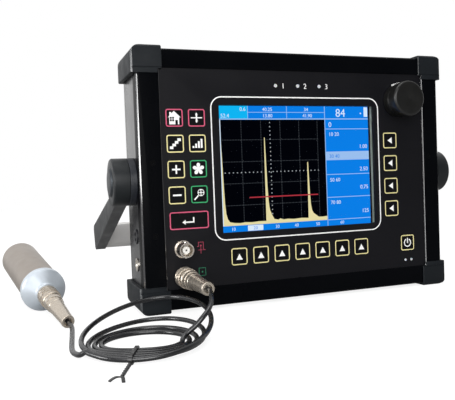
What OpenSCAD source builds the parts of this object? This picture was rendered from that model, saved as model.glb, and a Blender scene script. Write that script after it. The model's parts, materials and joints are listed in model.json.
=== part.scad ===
// Portable ultrasonic flaw detector with its probe and probe lead.
// It stands on its two lower corner guards. X runs along the front, Y goes into the case
// and Z is up. The origin is on the table, under the middle of the case.

/* [Case] */
// Width of the case across its front frame
case_w = 233; // [229:1:240]
// Height of the case
case_h = 171; // [169:1:178]
// Depth of the case from the frame's face to the back
case_d = 44; // [43:0.5:48]
// Wall of the rear case
case_wall = 3; // [2.8:0.1:3.4]
// Corner radius of the case
case_r = 5; // [4:0.5:6]
// Depth of the front frame
bezel_d = 10; // [9.5:0.25:12]

/* [Front panel] */
// Width of the frame's left strip
left_strip = 15.6; // [14.5:0.1:16]
// Width of the frame's right strip
right_strip = 14.4; // [13:0.1:15]
// Height of the frame's top strip
top_strip = 12.4; // [11:0.1:13]
// Height of the frame's bottom strip
bottom_strip = 13.4; // [12:0.1:14]
// How far the keypad panel lies behind the frame's face
panel_recess = 1; // [0.8:0.1:1.5]
// Thickness of the keypad panel
panel_t = 2; // [1.6:0.1:2.4]
// Play of the panel in its pocket
panel_fit = 0.1; // [0.05:0.05:0.2]

/* [Screen] */
// Width of the lit picture
view_w = 120.6; // [117:0.2:123]
// Height of the lit picture
view_h = 86.4; // [84:0.2:88]
// Left edge of the picture from the case's left side
view_in = 55.7; // [54:0.1:57]
// Lower edge of the picture from the case's underside
view_up = 48.4; // [47.5:0.1:50]
// Thickness of the clear pane
pane_t = 1.2; // [1:0.1:1.5]
// Rim of the pane behind the panel
pane_rim = 4; // [3:0.5:4.5]
// Rim of the display module round the picture
lcd_rim = 5.5; // [5:0.5:6.5]
// Thickness of the display module
lcd_t = 7; // [6:0.5:8]

/* [Keys] */
// Side of a square key
key_w = 11.8; // [11.4:0.1:12.2]
// Width of the enter key
enter_w = 27; // [26.5:0.1:27.4]
// Corner radius of a key
key_r = 1.6; // [1:0.1:2]
// How far the keys stand out of the panel
key_proud = 0.3; // [0.2:0.1:0.6]
// Travel of a key
key_travel = 0.5; // [0.3:0.1:0.6]
// Play round a key in the panel
key_gap = 0.15; // [0.1:0.05:0.25]
// Left edge of the left keys from the case's left side
keys_in = 18.7; // [18.3:0.1:19.5]
// Column pitch of the left keys
key_pitch_x = 15.2; // [14.8:0.1:15.6]
// Row pitch of the left and right keys
key_pitch_z = 16.9; // [16:0.1:17.4]
// Lower edge of the lowest row from the case's underside
keys_up = 52.6; // [52:0.1:54]
// Left edge of the right keys from the case's left side
menu_in = 183.9; // [182:0.1:185]
// Left edge of the first key below the screen
soft_in = 60.7; // [59:0.1:62]
// Pitch of the keys below the screen
soft_pitch = 16; // [15:0.1:17]
// Lower edge of the keys below the screen
soft_up = 25.9; // [25:0.1:27]
// Left edge of the power key
power_in = 197.1; // [196:0.1:199]

/* [Knob] */
// Radius of the rotary knob
knob_r = 12.9; // [12:0.1:13.5]
// Length of the rotary knob
knob_l = 15.5; // [13:0.5:18]
// Centre of the knob from the case's left side
knob_in = 197.2; // [196:0.1:199]
// Centre of the knob from the case's underside
knob_up = 138.6; // [137.5:0.1:140]
// Radius of the knob's shaft
shaft_r = 3; // [2.5:0.1:3.2]

/* [Jacks] */
// Radius of a jack's barrel
barrel_r = 4.8; // [4.7:0.05:4.9]
// How far a jack stands out of what carries it
jack_l = 10.8; // [10:0.1:12]
// Centre of both jacks from the case's left side
jack_in = 26.8; // [26:0.1:28]
// Height of the upper jack over the case's underside
upper_jack_up = 39.8; // [39:0.1:41]
// Height of the lower jack over the case's underside
lower_jack_up = 21.6; // [21:0.1:22.5]
// Radius of the plug's turning sleeve
sleeve_r = 6.8; // [6.6:0.1:7.3]
// Length of the plug with its tail
plug_l = 53; // [50:1:58]

/* [Side ports] */
// Centre of the ports behind the frame's face
ports_back = 18.8; // [18:0.2:20]
// Height of the data port over the case's underside
data_up = 48.5; // [47:0.5:50]
// Height of the charging port over the case's underside
charge_up = 29.4; // [28.5:0.1:31]
// Radius of the data port's ring
data_r = 5; // [4.8:0.1:5.4]
// Radius of the charging port's ring
charge_r = 4.5; // [4.2:0.1:4.8]

/* [Handle] */
// Height of the handle's pivot over the case's underside
pivot_up = 85.3; // [84:0.1:87]
// Radius of a hub
hub_r = 16; // [15:0.25:16.5]
// Length of a hub along the pivot
hub_l = 10.5; // [10:0.25:12]
// Thickness of the fixed plate under a hub
plate_t = 4.5; // [4.2:0.1:5.5]
// Radius of the pivot bolt
pivot_r = 4.95; // [4.5:0.05:5.5]
// Running clearance of the pivot, measured on the radius
pivot_fit = 0.05; // [0.03:0.01:0.09]
// Reach of an arm from the pivot
arm_reach = 125; // [122:1:132]
// Thickness of an arm
arm_t = 8; // [7:0.5:8.5]
// Width of an arm at its outer end
arm_end_w = 21; // [20:0.5:23]
// Angle of the arms below level when the handle is down
arm_dip = 19.3; // [17:0.1:20]
// Width of the grip bar
grip_w = 20; // [19:0.5:20.5]
// Thickness of the grip bar
grip_t = 10; // [8:0.5:11]

/* [Guards] */
// How far a guard covers the front from the case's side
guard_in = 17.2; // [16.5:0.1:18]
// How far a guard reaches up or down the side
guard_up = 16; // [15:0.5:17]
// How far a guard stands out at the side
guard_out = 3; // [2.5:0.1:3.6]
// How far a guard stands out at the top and bottom
guard_lip = 2; // [1.6:0.1:3]
// How far a guard stands out at the front
guard_front = 1; // [0.8:0.1:1.4]
// How far a guard stands out at the back
guard_back = 2.5; // [2.3:0.1:3]
// Outer corner radius of a guard
guard_r = 6; // [4.5:0.5:7]

/* [Inside] */
// Thickness of the circuit boards
board_t = 1.6; // [1.2:0.2:2]
// Width of the main board
main_w = 196; // [185:1:200]
// Height of the main board
main_h = 136; // [125:1:140]
// Main board's face behind the frame's face
main_back = 19; // [19:0.1:20.5]
// Width of the battery pack
battery_w = 140; // [130:1:142]
// Height of the battery pack
battery_h = 68; // [60:1:69]
// Thickness of the battery pack
battery_t = 11; // [9:0.5:12]
// Thickness of the seal between frame and rear case
seal_t = 1.2; // [1:0.1:1.5]

/* [Screws] */
// Radius of a frame screw
frame_screw_r = 1; // [0.8:0.1:1.2]
// Height of the upper frame screws over the case's underside
upper_screw_up = 96.9; // [96:0.1:99]
// Height of the lower frame screws over the case's underside
lower_screw_up = 49.2; // [47:0.1:51]
// Frame screws from the case's side
frame_screw_in = 9; // [8.6:0.1:9.2]
// Radius of a back screw
back_screw_r = 1.5; // [1.3:0.1:1.6]
// Length of a back screw under its head
back_screw_l = 9; // [8:0.5:10]
// Radius of a back screw's head
back_head_r = 3; // [2.7:0.1:3.2]
// Back screws of a guard from the case's side and underside
guard_screw_in = 8; // [7.6:0.1:8.4]

/* [Probe] */
// Radius of the probe's collar, whose rim it rests on
probe_r = 15.2; // [14.5:0.1:16]
// Length of the probe behind its collar's edge
probe_l = 78; // [70:1:84]
// Place of the collar's edge along X
probe_x = -176.2; // [-178:0.1:-174]
// Place of the collar's edge along Y
probe_y = 28.1; // [26:0.1:30]
// Turn of the probe on the table
probe_turn = 10.55; // [9:0.05:12]

/* [Lead] */
// Radius of the lead
lead_r = 1.4; // [1.3:0.05:1.45]
// Loops in the tied coil
coil_loops = 4; // [3:1:4]
// Place of the tie along X
tie_x = -138.5; // [-139.5:0.5:-137.5]
// Place of the innermost strand at the tie along Y
tie_y = -106.5; // [-108:0.5:-105]
// Step from one strand to the next
coil_pitch = 3.75; // [3.7:0.05:3.8]
// Half the length of the inner loop, from the tie to the far side
loop_reach = 19; // [18.5:0.1:19.5]
// Half the width of the inner loop
loop_half_w = 21.5; // [21:0.1:22]
// How much further the last loop reaches, as half its length
loop_growth = 19.5; // [18.5:0.1:19.8]
// How high the last loop leans against the case
loop_rise = 19.5; // [18:0.5:21]

/* [Hidden] */
// Overrun of every cut
over = 1;
// How far two drawn shapes of one piece run into each other
joined = 0.5;
// Steps in a quarter of a drawn corner
corner_steps = 6;
$fn = 48;

// Planes of the case
front_y = -case_d / 2;
back_y = case_d / 2;
left_x = -case_w / 2;
right_x = case_w / 2;
low_z = guard_lip;
high_z = low_z + case_h;
mid_z = low_z + case_h / 2;

// Planes of the front, from the frame's face inwards
panel_y = front_y + panel_recess;
panel_back_y = panel_y + panel_t;
bezel_back_y = front_y + bezel_d;
key_lip_t = 0.8;
key_lip = 0.5;
key_rest_gap = 0.1;
dome_t = 0.6;
dome_r = 3.5;
dome_y = panel_back_y + 2 * key_rest_gap + key_lip_t + key_travel;
board_y = dome_y + dome_t;
lcd_y = panel_back_y + pane_t;
main_y = front_y + main_back;
inner_back_y = back_y - case_wall;

// Frame: pocket, chamfers and screws
pocket_lip = 1.8;
board_lip = 1.4;
pocket_r = 2;
bezel_chamfer = 1;
opening_chamfer = 0.6;
opening_w = case_w - left_strip - right_strip;
opening_h = case_h - bottom_strip - top_strip;
opening_x = left_x + left_strip;
opening_z = low_z + bottom_strip;
frame_head_r = 1.9;
frame_head_t = 1.1;
frame_head_sunk = 0.2;
frame_screw_l = 13;
screw_socket_share = 0.7;
screw_fit = 0.05;
screw_lug = 3;
lug_l = 4;

// Rear case
boss_l = 9;
boss_wall = 4;
back_chamfer = 1.5;
post_r = 3.5;
post_in = 6;
cover_ledge = 10;
cover_sunk = 1.5;
cover_fit = 0.3;
cover_r = 4;
battery_room = 3;
battery_gap = 0.3;
battery_r = 5;
back_head_t = 1.5;
back_boss_wall = 2.5;
cover_screw_in = 5;
seal_w = 1.2;
seal_fit = 0.1;
seal_in = (case_wall - seal_w) / 2;

// Display, boards and lights
lcd_gap = 1;
lcd_frame_t = 0.5;
board_fit = 0.2;
jack_room = 3;
led_r = 1.2;
led_fit = 0.1;
led_proud = 0.2;
led_in = 98;
led_over_view = 13.5;
led_z = low_z + view_up + view_h + led_over_view;
led_pitch = 17;
power_led_in = 201;
power_led_up = 18.8;
power_led_pitch = 5.3;
power_led_r = 0.9;
shield_w = 50;
shield_h = 60;
shield_t = 7;
shield_in = 12;

// Keys, by name, with left and lower edge from the case's corner, and width
soft_keys = 7;
menu_keys = 4;
function left_key(name, col, row, w = key_w) =
    [name, keys_in + col * key_pitch_x, keys_up + row * key_pitch_z, w];
keys = concat(
    [
        left_key("key_home", 0, 4),
        left_key("key_cursor", 1, 4),
        left_key("key_steps", 0, 3),
        left_key("key_gain", 1, 3),
        left_key("key_plus", 0, 2),
        left_key("key_freeze", 1, 2),
        left_key("key_minus", 0, 1),
        left_key("key_zoom", 1, 1),
        left_key("key_enter", 0, 0, enter_w)
    ],
    [for (i = [0 : menu_keys - 1])
        [str("key_menu_", i + 1), menu_in, keys_up + (menu_keys - 1 - i) * key_pitch_z, key_w]],
    [for (i = [0 : soft_keys - 1])
        [str("key_soft_", i + 1), soft_in + i * soft_pitch, soft_up, key_w]],
    [["key_power", power_in, soft_up, key_w]]
);

// Knob and encoder
knob_clear = 0.5;
knob_chamfer = 1.2;
knob_step_share = 0.4;
knob_step = 0.8;
knob_cup_r = 8.5;
knob_cup_l = 5;
shaft_fit = 0.06;
bushing_r = 4.4;
bushing_l = 3;
nut_r = 6.5;
nut_t = 2;
nut_fit = 0.05;
encoder_w = 14;
encoder_t = 6.5;
encoder_x = left_x + knob_in;
encoder_z = low_z + knob_up;

// Jacks and plug, measured along the jack from the face that carries it
jack_x = left_x + jack_in;
upper_jack_z = low_z + upper_jack_up;
lower_jack_z = low_z + lower_jack_up;
flange_r = 5.8;
flange_t = 1.5;
thread_r = 4.6;
thread_l = 7;
jack_nut_r = 6.3;
jack_nut_t = 1.8;
barrel_bore_r = 4.05;
barrel_depth = 8;
lug_r = 0.9;
lug_reach = 5.45;
lug_from_rim = 3.6;
socket_r = 2.4;
socket_hole_r = 0.7;
socket_short = 1.6;
contact_fit = 0.05;
contact_depth_share = 0.6;
sleeve_gap = 1;
sleeve_l = 13.5;
sleeve_bore_r = 5.6;
sleeve_wall = 1.6;
sleeve_chamfer = 0.6;
rib_t = 1.4;
rib_gap = 1;
sleeve_ribs = 4;
neck_r = 4.4;
neck_fit = 0.15;
shoulder_r = 5.4;
plug_core_r = 3.95;
nut_ring_r = 5.8;
nut_ring_l = 5;
tail_r = 3.9;
tail_rim_l = 2.5;
tail_bore_r = 2.4;
tail_bore_l = 3;

// Handle
pivot_z = low_z + pivot_up;
hub_gap = 0.3;
hub_inner_x = left_x - plate_t - hub_gap;
hub_outer_x = hub_inner_x - hub_l;
hub_stand = 0.4;
arm_inner_x = hub_inner_x - hub_stand;
arm_root_drop = 3;
arm_root_share = 0.92;
arm_end_cut = 3;
hub_chamfer = 0.8;
cup_depth = 5;
cap_r = 10;
cap_fit = 0.1;
cap_t = 2;
cap_proud = 1.3;
bolt_head_r = 8;
bolt_head_t = 2.4;
bolt_head_gap = 0.1;
bolt_tip_gap = 2;
grip_socket = 3;
grip_fit = 0.1;
grip_r = 3;
grip_end_gap = 0.2;
grip_from_end = 3;
grip_v = grip_w / 2 + (arm_end_w - grip_w) / 2 - hub_r;

// Guards
notch = 2.8;
guard_chamfer = 1.2;
guard_small_r = 0.8;
lip_groove = 0.4;
lip_groove_w = 0.8;
lip_from_edge = 3;
head_sunk = 1.6;
head_fit = 0.2;

// Side ports
port_ring_t = 0.8;
port_body_r_share = 0.86;
port_l = 9;
port_fit = 0.1;
data_socket_share = 0.66;
data_socket_l = 5;
data_pin_r = 0.5;
data_pins = 5;
data_pin_ring_share = 0.36;
charge_hole_share = 0.6;
charge_hole_l = 7;
charge_pin_r = 0.9;

// Probe
probe_body_cut = 1.4;
collar_l = 5;
groove_l = 1;
groove_cut = 0.6;
shoulder_l = 7;
shoulder_end_r = 7;
edge_cut = 0.8;
// It rests on its collar's rim and on the end of its plug, which tips it
probe_tilt = atan((probe_r - tail_r) / (plug_l + shoulder_l + edge_cut));
probe_z = probe_r * cos(probe_tilt) - edge_cut * sin(probe_tilt);
face_t = 2;
face_cut = 1;

// Coil: shape of the loops, and how they ride up over the tie
coil_turn = 22;
coil_sides = 6;
coil_rings = 24;
coil_first = -0.2;
coil_last = coil_loops + 0.1;
growth_power = 1.7;
lift_power = 6;
rise_from = 1.8;
tie_wire = 0.9;
tie_slack = 0.3;
tie_lift = tie_wire + tie_slack / 2;
tie_band_w = 1.8;
tie_twist_l = 18;
tie_twists = 3;
tie_steps = 6;
tie_wire_r = 0.6;
tie_end_l = 7;
tie_end_w = 1.6;
tie_end_t = 0.6;
tie_end_turns = [17, -41];

// Route of the lead from the unit's plug to the coil
drop_sides = 8;
drop_points = [
    [-90, -79, 23],
    [-91.2, -84, 21.5],
    [-93, -89, 19],
    [-96, -93, 16],
    [-100.4, -95.5, 12.5],
    [-104.5, -95.4, 8.5],
    [-107.5, -95.1, 6.3],
    [-110.3, -95.5, 4.3],
    [-112.2, -97, 2.7]
];

// Route of the lead from the coil to the probe's plug
tail_points = [
    [-166, -100.5, 2.4],
    [-168, -93, 1.6],
    [-168.3, -85, 1.45],
    [-167.5, -75, 1.45],
    [-166.2, -62, 1.5],
    [-165, -50, 1.8],
    [-164.2, -41, 2.1],
    [-164.35, -35.6, 2.75]
];

// Corner points of a rectangle with four round corners: lower left, lower right, upper
// right and upper left radius
function round_box(x0, y0, w, h, r) = [
    for (c = [
        [x0 + w - r[1], y0 + r[1], -90, r[1]],
        [x0 + w - r[2], y0 + h - r[2], 0, r[2]],
        [x0 + r[3], y0 + h - r[3], 90, r[3]],
        [x0 + r[0], y0 + r[0], 180, r[0]]
    ])
        for (i = [0 : corner_steps])
            [
                c[0] + c[3] * cos(c[2] + 90 * i / corner_steps),
                c[1] + c[3] * sin(c[2] + 90 * i / corner_steps)
            ]
];
function round_rect(x0, y0, w, h, r) = round_box(x0, y0, w, h, [r, r, r, r]);
function grown(x0, y0, w, h, r, by) =
    round_rect(x0 - by, y0 - by, w + 2 * by, h + 2 * by, r + by);
function diamond(c) = [[-c, 0], [0, -c], [c, 0], [0, c]];

// A flat piece that faces the front, from y0 inwards
module plate(y0, t) {
    translate([0, y0 + t, 0]) rotate([90, 0, 0]) linear_extrude(t) children();
}

// A flat piece that faces the side, from x0 to the right
module side_plate(x0, t) {
    translate([x0, 0, 0]) rotate([90, 0, 90]) linear_extrude(t) children();
}

// A round bar along Y
module rod(x, z, y0, y1, r) {
    translate([x, y1, z]) rotate([90, 0, 0]) cylinder(h = y1 - y0, r = r);
}

// A round bar along X
module axle(x0, x1, y, z, r) {
    translate([x0, y, z]) rotate([0, 90, 0]) cylinder(h = x1 - x0, r = r);
}

// Bevel cuts along an edge
module bevel_x(x0, x1, y, z, c) {
    translate([x0, y, z]) rotate([0, 90, 0]) linear_extrude(x1 - x0) polygon(diamond(c));
}
module bevel_z(x, y, z0, z1, c) {
    translate([x, y, z0]) linear_extrude(z1 - z0) polygon(diamond(c));
}

module both_sides() {
    children();
    mirror([1, 0, 0]) children();
}
module flipped(axis, on) {
    if (on) mirror(axis) children();
    else children();
}

// Outline of the case, and of the keypad panel's opening in the frame
module case_outline(by = 0) {
    polygon(grown(left_x, low_z, case_w, case_h, case_r, by));
}
module opening_outline(by = 0) {
    polygon(grown(opening_x, opening_z, opening_w, opening_h, pocket_r, by));
}

// Places of the frame screws and of the screws at the back
module at_frame_screws() {
    both_sides()
        for (up = [lower_screw_up, upper_screw_up])
            translate([left_x + frame_screw_in, 0, low_z + up]) children();
}
cover_w = battery_w + 2 * battery_room + 2 * cover_ledge;
cover_h = battery_h + 2 * battery_room + 2 * cover_ledge;
module at_cover_screws() {
    for (x = [-1, 1])
        for (z = [-1, 1])
            translate([
                x * (cover_w / 2 - cover_screw_in), 0, mid_z + z * (cover_h / 2 - cover_screw_in)
            ]) children();
}
module at_guard_screws() {
    both_sides()
        for (z = [low_z + guard_screw_in, high_z - guard_screw_in])
            translate([left_x + guard_screw_in, 0, z]) children();
}
module battery_outline(by = 0) {
    polygon(grown(-battery_w / 2, mid_z - battery_h / 2, battery_w, battery_h, battery_r, by));
}
module cover_outline(by = 0) {
    polygon(grown(-cover_w / 2, mid_z - cover_h / 2, cover_w, cover_h, cover_r, by));
}

module back_screw_hole() {
    rod(0, 0, back_y - back_screw_l - over, back_y + over, back_screw_r + screw_fit);
}

// Rear case: an open shell with bosses, posts, a battery opening and holes for the ports
module rear_case() {
    shell_d = back_y - bezel_back_y;
    boss_r = pivot_r + boss_wall;
    inside_x = left_x + case_wall;
    color("#1f2023") difference() {
        union() {
            difference() {
                plate(bezel_back_y, shell_d) case_outline();
                plate(bezel_back_y - over, shell_d - case_wall + over)
                    polygon(grown(left_x, low_z, case_w, case_h, case_r, -case_wall));
            }
            both_sides() axle(left_x + case_wall / 2, inside_x + boss_l, 0, pivot_z, boss_r);
            at_frame_screws()
                translate([
                    -frame_screw_in + case_wall / 2, bezel_back_y, -screw_lug
                ]) cube([frame_screw_in - case_wall / 2 + screw_lug, lug_l, 2 * screw_lug]);
            at_guard_screws() rod(
                0, 0, back_y - back_screw_l, back_y - case_wall / 2,
                back_screw_r + back_boss_wall
            );
            at_cover_screws() rod(
                0, 0, back_y - back_screw_l, inner_back_y + joined,
                back_screw_r + back_boss_wall
            );
            for (x = [-1, 1])
                for (z = [-1, 1])
                    rod(
                        x * (main_w / 2 - post_in), mid_z + z * (main_h / 2 - post_in),
                        main_y + board_t, back_y - case_wall / 2, post_r
                    );
        }
        for (z = [low_z, high_z]) bevel_x(left_x - over, right_x + over, back_y, z, back_chamfer);
        for (x = [left_x, right_x]) bevel_z(x, back_y, low_z - over, high_z + over, back_chamfer);
        plate(bezel_back_y - over, seal_t + over) difference() {
            case_outline(seal_fit - seal_in);
            case_outline(-seal_in - seal_w - seal_fit);
        }
        both_sides()
            axle(left_x - over, inside_x + boss_l - bolt_tip_gap, 0, pivot_z, pivot_r + pivot_fit);
        at_frame_screws()
            rod(0, 0, bezel_back_y - over, bezel_back_y + lug_l + over, frame_screw_r + screw_fit);
        at_guard_screws() back_screw_hole();
        at_cover_screws() back_screw_hole();
        plate(back_y - cover_sunk, cover_sunk + over) cover_outline(cover_fit);
        plate(inner_back_y - over, case_wall + 2 * over) battery_outline(battery_room);
        axle(
            left_x - over, left_x + port_l + over, front_y + ports_back, low_z + data_up,
            data_r * port_body_r_share + port_fit
        );
        axle(
            left_x - over, left_x + port_l + over, front_y + ports_back, low_z + charge_up,
            charge_r * port_body_r_share + port_fit
        );
    }
}

// Front frame: four strips round the panel, bevelled outside and round the opening
module front_bezel() {
    color("#0b0c0f") difference() {
        plate(front_y, bezel_d) case_outline();
        plate(front_y - over, bezel_d + 2 * over) opening_outline();
        plate(panel_y, bezel_d) opening_outline(pocket_lip);
        plate(board_y, bezel_d) opening_outline(pocket_lip + board_lip);
        for (z = [low_z, high_z])
            bevel_x(left_x - over, right_x + over, front_y, z, bezel_chamfer);
        for (x = [left_x, right_x])
            bevel_z(x, front_y, low_z - over, high_z + over, bezel_chamfer);
        for (z = [opening_z, opening_z + opening_h])
            bevel_x(opening_x, opening_x + opening_w, front_y, z, opening_chamfer);
        for (x = [opening_x, opening_x + opening_w])
            bevel_z(x, front_y, opening_z, opening_z + opening_h, opening_chamfer);
        at_frame_screws() {
            rod(0, 0, front_y - over, bezel_back_y + over, frame_screw_r + screw_fit);
            rod(
                0, 0, front_y - over, front_y + frame_head_sunk + frame_head_t,
                frame_head_r + screw_fit
            );
        }
    }
}

// Seal in the groove round the rear case's edge
module case_seal() {
    color("#4a4a4a") plate(bezel_back_y, seal_t) difference() {
        case_outline(-seal_in);
        case_outline(-seal_in - seal_w);
    }
}

// Outline of one key, grown all round
module key_outline(k, by = 0) {
    polygon(grown(left_x + k[1], low_z + k[2], k[3], key_w, key_r, by));
}

// Printed front panel with its window and holes
module keypad_panel() {
    color("#232329") difference() {
        plate(panel_y, panel_t) opening_outline(pocket_lip - panel_fit);
        translate([left_x + view_in, panel_y - over, low_z + view_up])
            cube([view_w, panel_t + 2 * over, view_h]);
        for (k = keys) plate(panel_y - over, panel_t + 2 * over) key_outline(k, key_gap);
        for (z = [upper_jack_z, lower_jack_z])
            rod(jack_x, z, panel_y - over, panel_back_y + over, thread_r + nut_fit);
        rod(encoder_x, encoder_z, panel_y - over, panel_back_y + over, bushing_r + nut_fit);
        at_leds(led_fit) rod(0, 0, panel_y - over, panel_back_y + over, $led_r);
    }
}

// Each light at its place, with its radius
module at_leds(by = 0) {
    for (i = [0 : 2])
        translate([left_x + led_in + i * led_pitch, 0, led_z])
            let($led_r = led_r + by) children();
    for (i = [0, 1])
        translate([left_x + power_led_in + i * power_led_pitch, 0, low_z + power_led_up])
            let($led_r = power_led_r + by) children();
}

// Clear pane behind the panel
module display_window() {
    color("#9fb4c0") plate(panel_back_y, pane_t) polygon(grown(
        left_x + view_in, low_z + view_up, view_w, view_h, 0, pane_rim
    ));
}

// Display module with a thin metal frame round the picture
module lcd_module() {
    color("#1466c8") difference() {
        plate(lcd_y, lcd_t) polygon(grown(
            left_x + view_in, low_z + view_up, view_w, view_h, 0, lcd_rim
        ));
        plate(lcd_y - over, lcd_frame_t + over) polygon(grown(
            left_x + view_in, low_z + view_up, view_w, view_h, 0, lcd_gap
        ));
    }
}

// Board with a dome switch under each key
module keypad_board() {
    color("#2d6b43") {
        difference() {
            plate(board_y, board_t) opening_outline(pocket_lip + board_lip - board_fit);
            plate(board_y - over, board_t + 2 * over) polygon(grown(
                left_x + view_in, low_z + view_up, view_w, view_h, 0, lcd_rim + lcd_gap
            ));
            for (z = [upper_jack_z, lower_jack_z])
                rod(jack_x, z, board_y - over, board_y + board_t + over, jack_nut_r + board_fit);
            translate([
                encoder_x - encoder_w / 2 - lcd_gap, board_y - over,
                encoder_z - encoder_w / 2 - lcd_gap
            ]) cube([encoder_w + 2 * lcd_gap, board_t + 2 * over, encoder_w + 2 * lcd_gap]);
        }
        for (k = keys)
            rod(left_x + k[1] + k[3] / 2, low_z + k[2] + key_w / 2, dome_y, board_y, dome_r);
    }
}

// Main board with the pulser's screening can
module main_board() {
    color("#1f5a3a") {
        plate(main_y, board_t)
            polygon(round_rect(-main_w / 2, mid_z - main_h / 2, main_w, main_h, pocket_r));
        translate([
            -main_w / 2 + shield_in, main_y - shield_t, mid_z - main_h / 2 + shield_in
        ]) cube([shield_w, shield_t, shield_h]);
    }
}

module battery_pack() {
    color("#3b5f8a") plate(inner_back_y - battery_gap - battery_t, battery_t) battery_outline();
}

// Lid of the battery bay: a plate in the recess and a plug in the opening
module battery_cover() {
    color("#26272a") difference() {
        union() {
            plate(back_y - cover_sunk, cover_sunk) cover_outline();
            plate(inner_back_y, case_wall) battery_outline(battery_room - cover_fit);
        }
        at_cover_screws()
            rod(0, 0, inner_back_y - over, back_y + over, back_screw_r + screw_fit);
    }
}

// One rubber guard, drawn for the lower left corner of the case
module corner_guard(right, top) {
    y0 = front_y - guard_front;
    d = case_d + guard_front + guard_back;
    color("#303233")
        translate([right ? right_x : left_x, 0, top ? high_z : low_z])
            flipped([1, 0, 0], right) flipped([0, 0, 1], top) difference() {
                plate(y0, d) polygon(round_box(
                    -guard_out, -guard_lip, guard_in + guard_out, guard_up + guard_lip,
                    [guard_r, guard_small_r, guard_small_r, guard_small_r]
                ));
                plate(front_y, case_d) polygon(round_rect(0, 0, case_w, case_h, case_r));
                translate([guard_in - notch, y0 - over, guard_up - notch])
                    cube([notch + over, guard_front + over, notch + over]);
                bevel_z(-guard_out, y0, -guard_lip - over, guard_up + over, guard_chamfer);
                bevel_x(-guard_out - over, guard_in + over, y0, -guard_lip, guard_chamfer);
                translate([
                    -guard_out - over, y0 - over, guard_up - lip_from_edge - lip_groove_w
                ]) cube([guard_in + guard_out + 2 * over, lip_groove + over, lip_groove_w]);
                rod(
                    guard_screw_in, guard_screw_in, back_y - over, back_y + guard_back + over,
                    back_screw_r + screw_fit
                );
                rod(
                    guard_screw_in, guard_screw_in, back_y + guard_back - head_sunk,
                    back_y + guard_back + over, back_head_r + head_fit
                );
            }
}

// Sunk screws in the frame's side strips
module frame_screws() {
    y0 = front_y + frame_head_sunk;
    color("#3a3b3f") at_frame_screws() difference() {
        union() {
            rod(0, 0, y0, y0 + frame_head_t, frame_head_r);
            rod(0, 0, y0, y0 + frame_screw_l, frame_screw_r);
        }
        rod(0, 0, y0 - over, y0 + frame_head_t / 2, frame_screw_r * screw_socket_share);
    }
}

// One screw at the back, with its head's underside at y
module back_screw(y) {
    difference() {
        union() {
            rod(0, 0, y, y + back_head_t, back_head_r);
            rod(0, 0, y - back_screw_l + guard_back, y + back_head_t / 2, back_screw_r);
        }
        rod(0, 0, y + back_head_t / 2, y + back_head_t + over, back_screw_r);
    }
}
module back_screws() {
    color("#77797d") {
        at_guard_screws() back_screw(back_y + guard_back - head_sunk);
        at_cover_screws() back_screw(back_y);
    }
}

module indicator_leds() {
    color("#dfe6ea") at_leds() rod(0, 0, panel_y - led_proud, board_y, $led_r);
}

// A key: its cap in the panel and a lip behind the panel
module key(k) {
    color("#18191c") {
        plate(panel_y - key_proud, panel_t + key_proud + key_rest_gap + key_lip_t) key_outline(k);
        plate(panel_back_y + key_rest_gap, key_lip_t) key_outline(k, key_lip);
    }
}

// Knob turned in two steps, with its shaft and a cup over the nut
module rotary_knob() {
    step_l = knob_l * knob_step_share;
    tip_y = panel_y - knob_clear - knob_l;
    shaft_end_y = panel_back_y + encoder_t / 2;
    color("#1b1b1c") {
        translate([encoder_x, panel_y - knob_clear, encoder_z]) rotate([90, 0, 0])
            rotate_extrude() polygon([
                [knob_cup_r, 0],
                [knob_r - knob_step, 0],
                [knob_r - knob_step, step_l],
                [knob_r, step_l],
                [knob_r, knob_l - knob_chamfer],
                [knob_r - knob_chamfer, knob_l],
                [0, knob_l],
                [0, knob_cup_l],
                [knob_cup_r, knob_cup_l]
            ]);
        rod(encoder_x, encoder_z, tip_y + knob_l / 2, shaft_end_y, shaft_r);
    }
}

// Encoder with its threaded bushing, and the nut that holds it to the panel
module rotary_encoder() {
    color("#8f9296") {
        difference() {
            union() {
                translate([
                    encoder_x - encoder_w / 2, panel_back_y, encoder_z - encoder_w / 2
                ]) cube([encoder_w, encoder_t, encoder_w]);
                rod(encoder_x, encoder_z, panel_y - bushing_l, panel_back_y + joined, bushing_r);
            }
            rod(
                encoder_x, encoder_z, panel_y - bushing_l - over,
                panel_back_y + encoder_t / 2 + knob_clear, shaft_r + shaft_fit
            );
        }
        difference() {
            translate([encoder_x, panel_y, encoder_z]) rotate([90, 0, 0])
                cylinder(h = nut_t, r = nut_r, $fn = 6);
            rod(encoder_x, encoder_z, panel_y - nut_t - over, panel_y + over, bushing_r + nut_fit);
        }
    }
}

// Jack that points along -Y from a face at the origin: flange, barrel and two lugs
module jack_shell() {
    difference() {
        union() {
            rod(0, 0, -flange_t, 0, flange_r);
            rod(0, 0, -jack_l, 0, barrel_r);
            translate([0, lug_from_rim - jack_l, -lug_reach])
                cylinder(h = 2 * lug_reach, r = lug_r);
        }
        rod(0, 0, -jack_l - over, barrel_depth - jack_l, barrel_bore_r);
        rod(0, 0, -jack_l, over, socket_r + contact_fit);
    }
}
module panel_jacks() {
    color("#b9b4a8") for (z = [upper_jack_z, lower_jack_z]) translate([jack_x, panel_y, z]) {
        jack_shell();
        difference() {
            rod(0, 0, -flange_t / 2, thread_l, thread_r);
            rod(0, 0, -flange_t, thread_l + over, socket_r + contact_fit);
        }
        difference() {
            rod(0, 0, panel_t, panel_t + jack_nut_t, jack_nut_r);
            rod(0, 0, panel_t - over, panel_t + jack_nut_t + over, thread_r - joined);
        }
    }
}

// White insulator with the centre contact's hole
module insulator(back) {
    difference() {
        rod(0, 0, socket_short - jack_l, back, socket_r);
        rod(0, 0, -jack_l, -jack_l * (1 - contact_depth_share), socket_hole_r);
    }
}
module jack_insulators() {
    color("#f1efe6")
        for (z = [upper_jack_z, lower_jack_z])
            translate([jack_x, panel_y, z]) insulator(thread_l);
}

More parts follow.
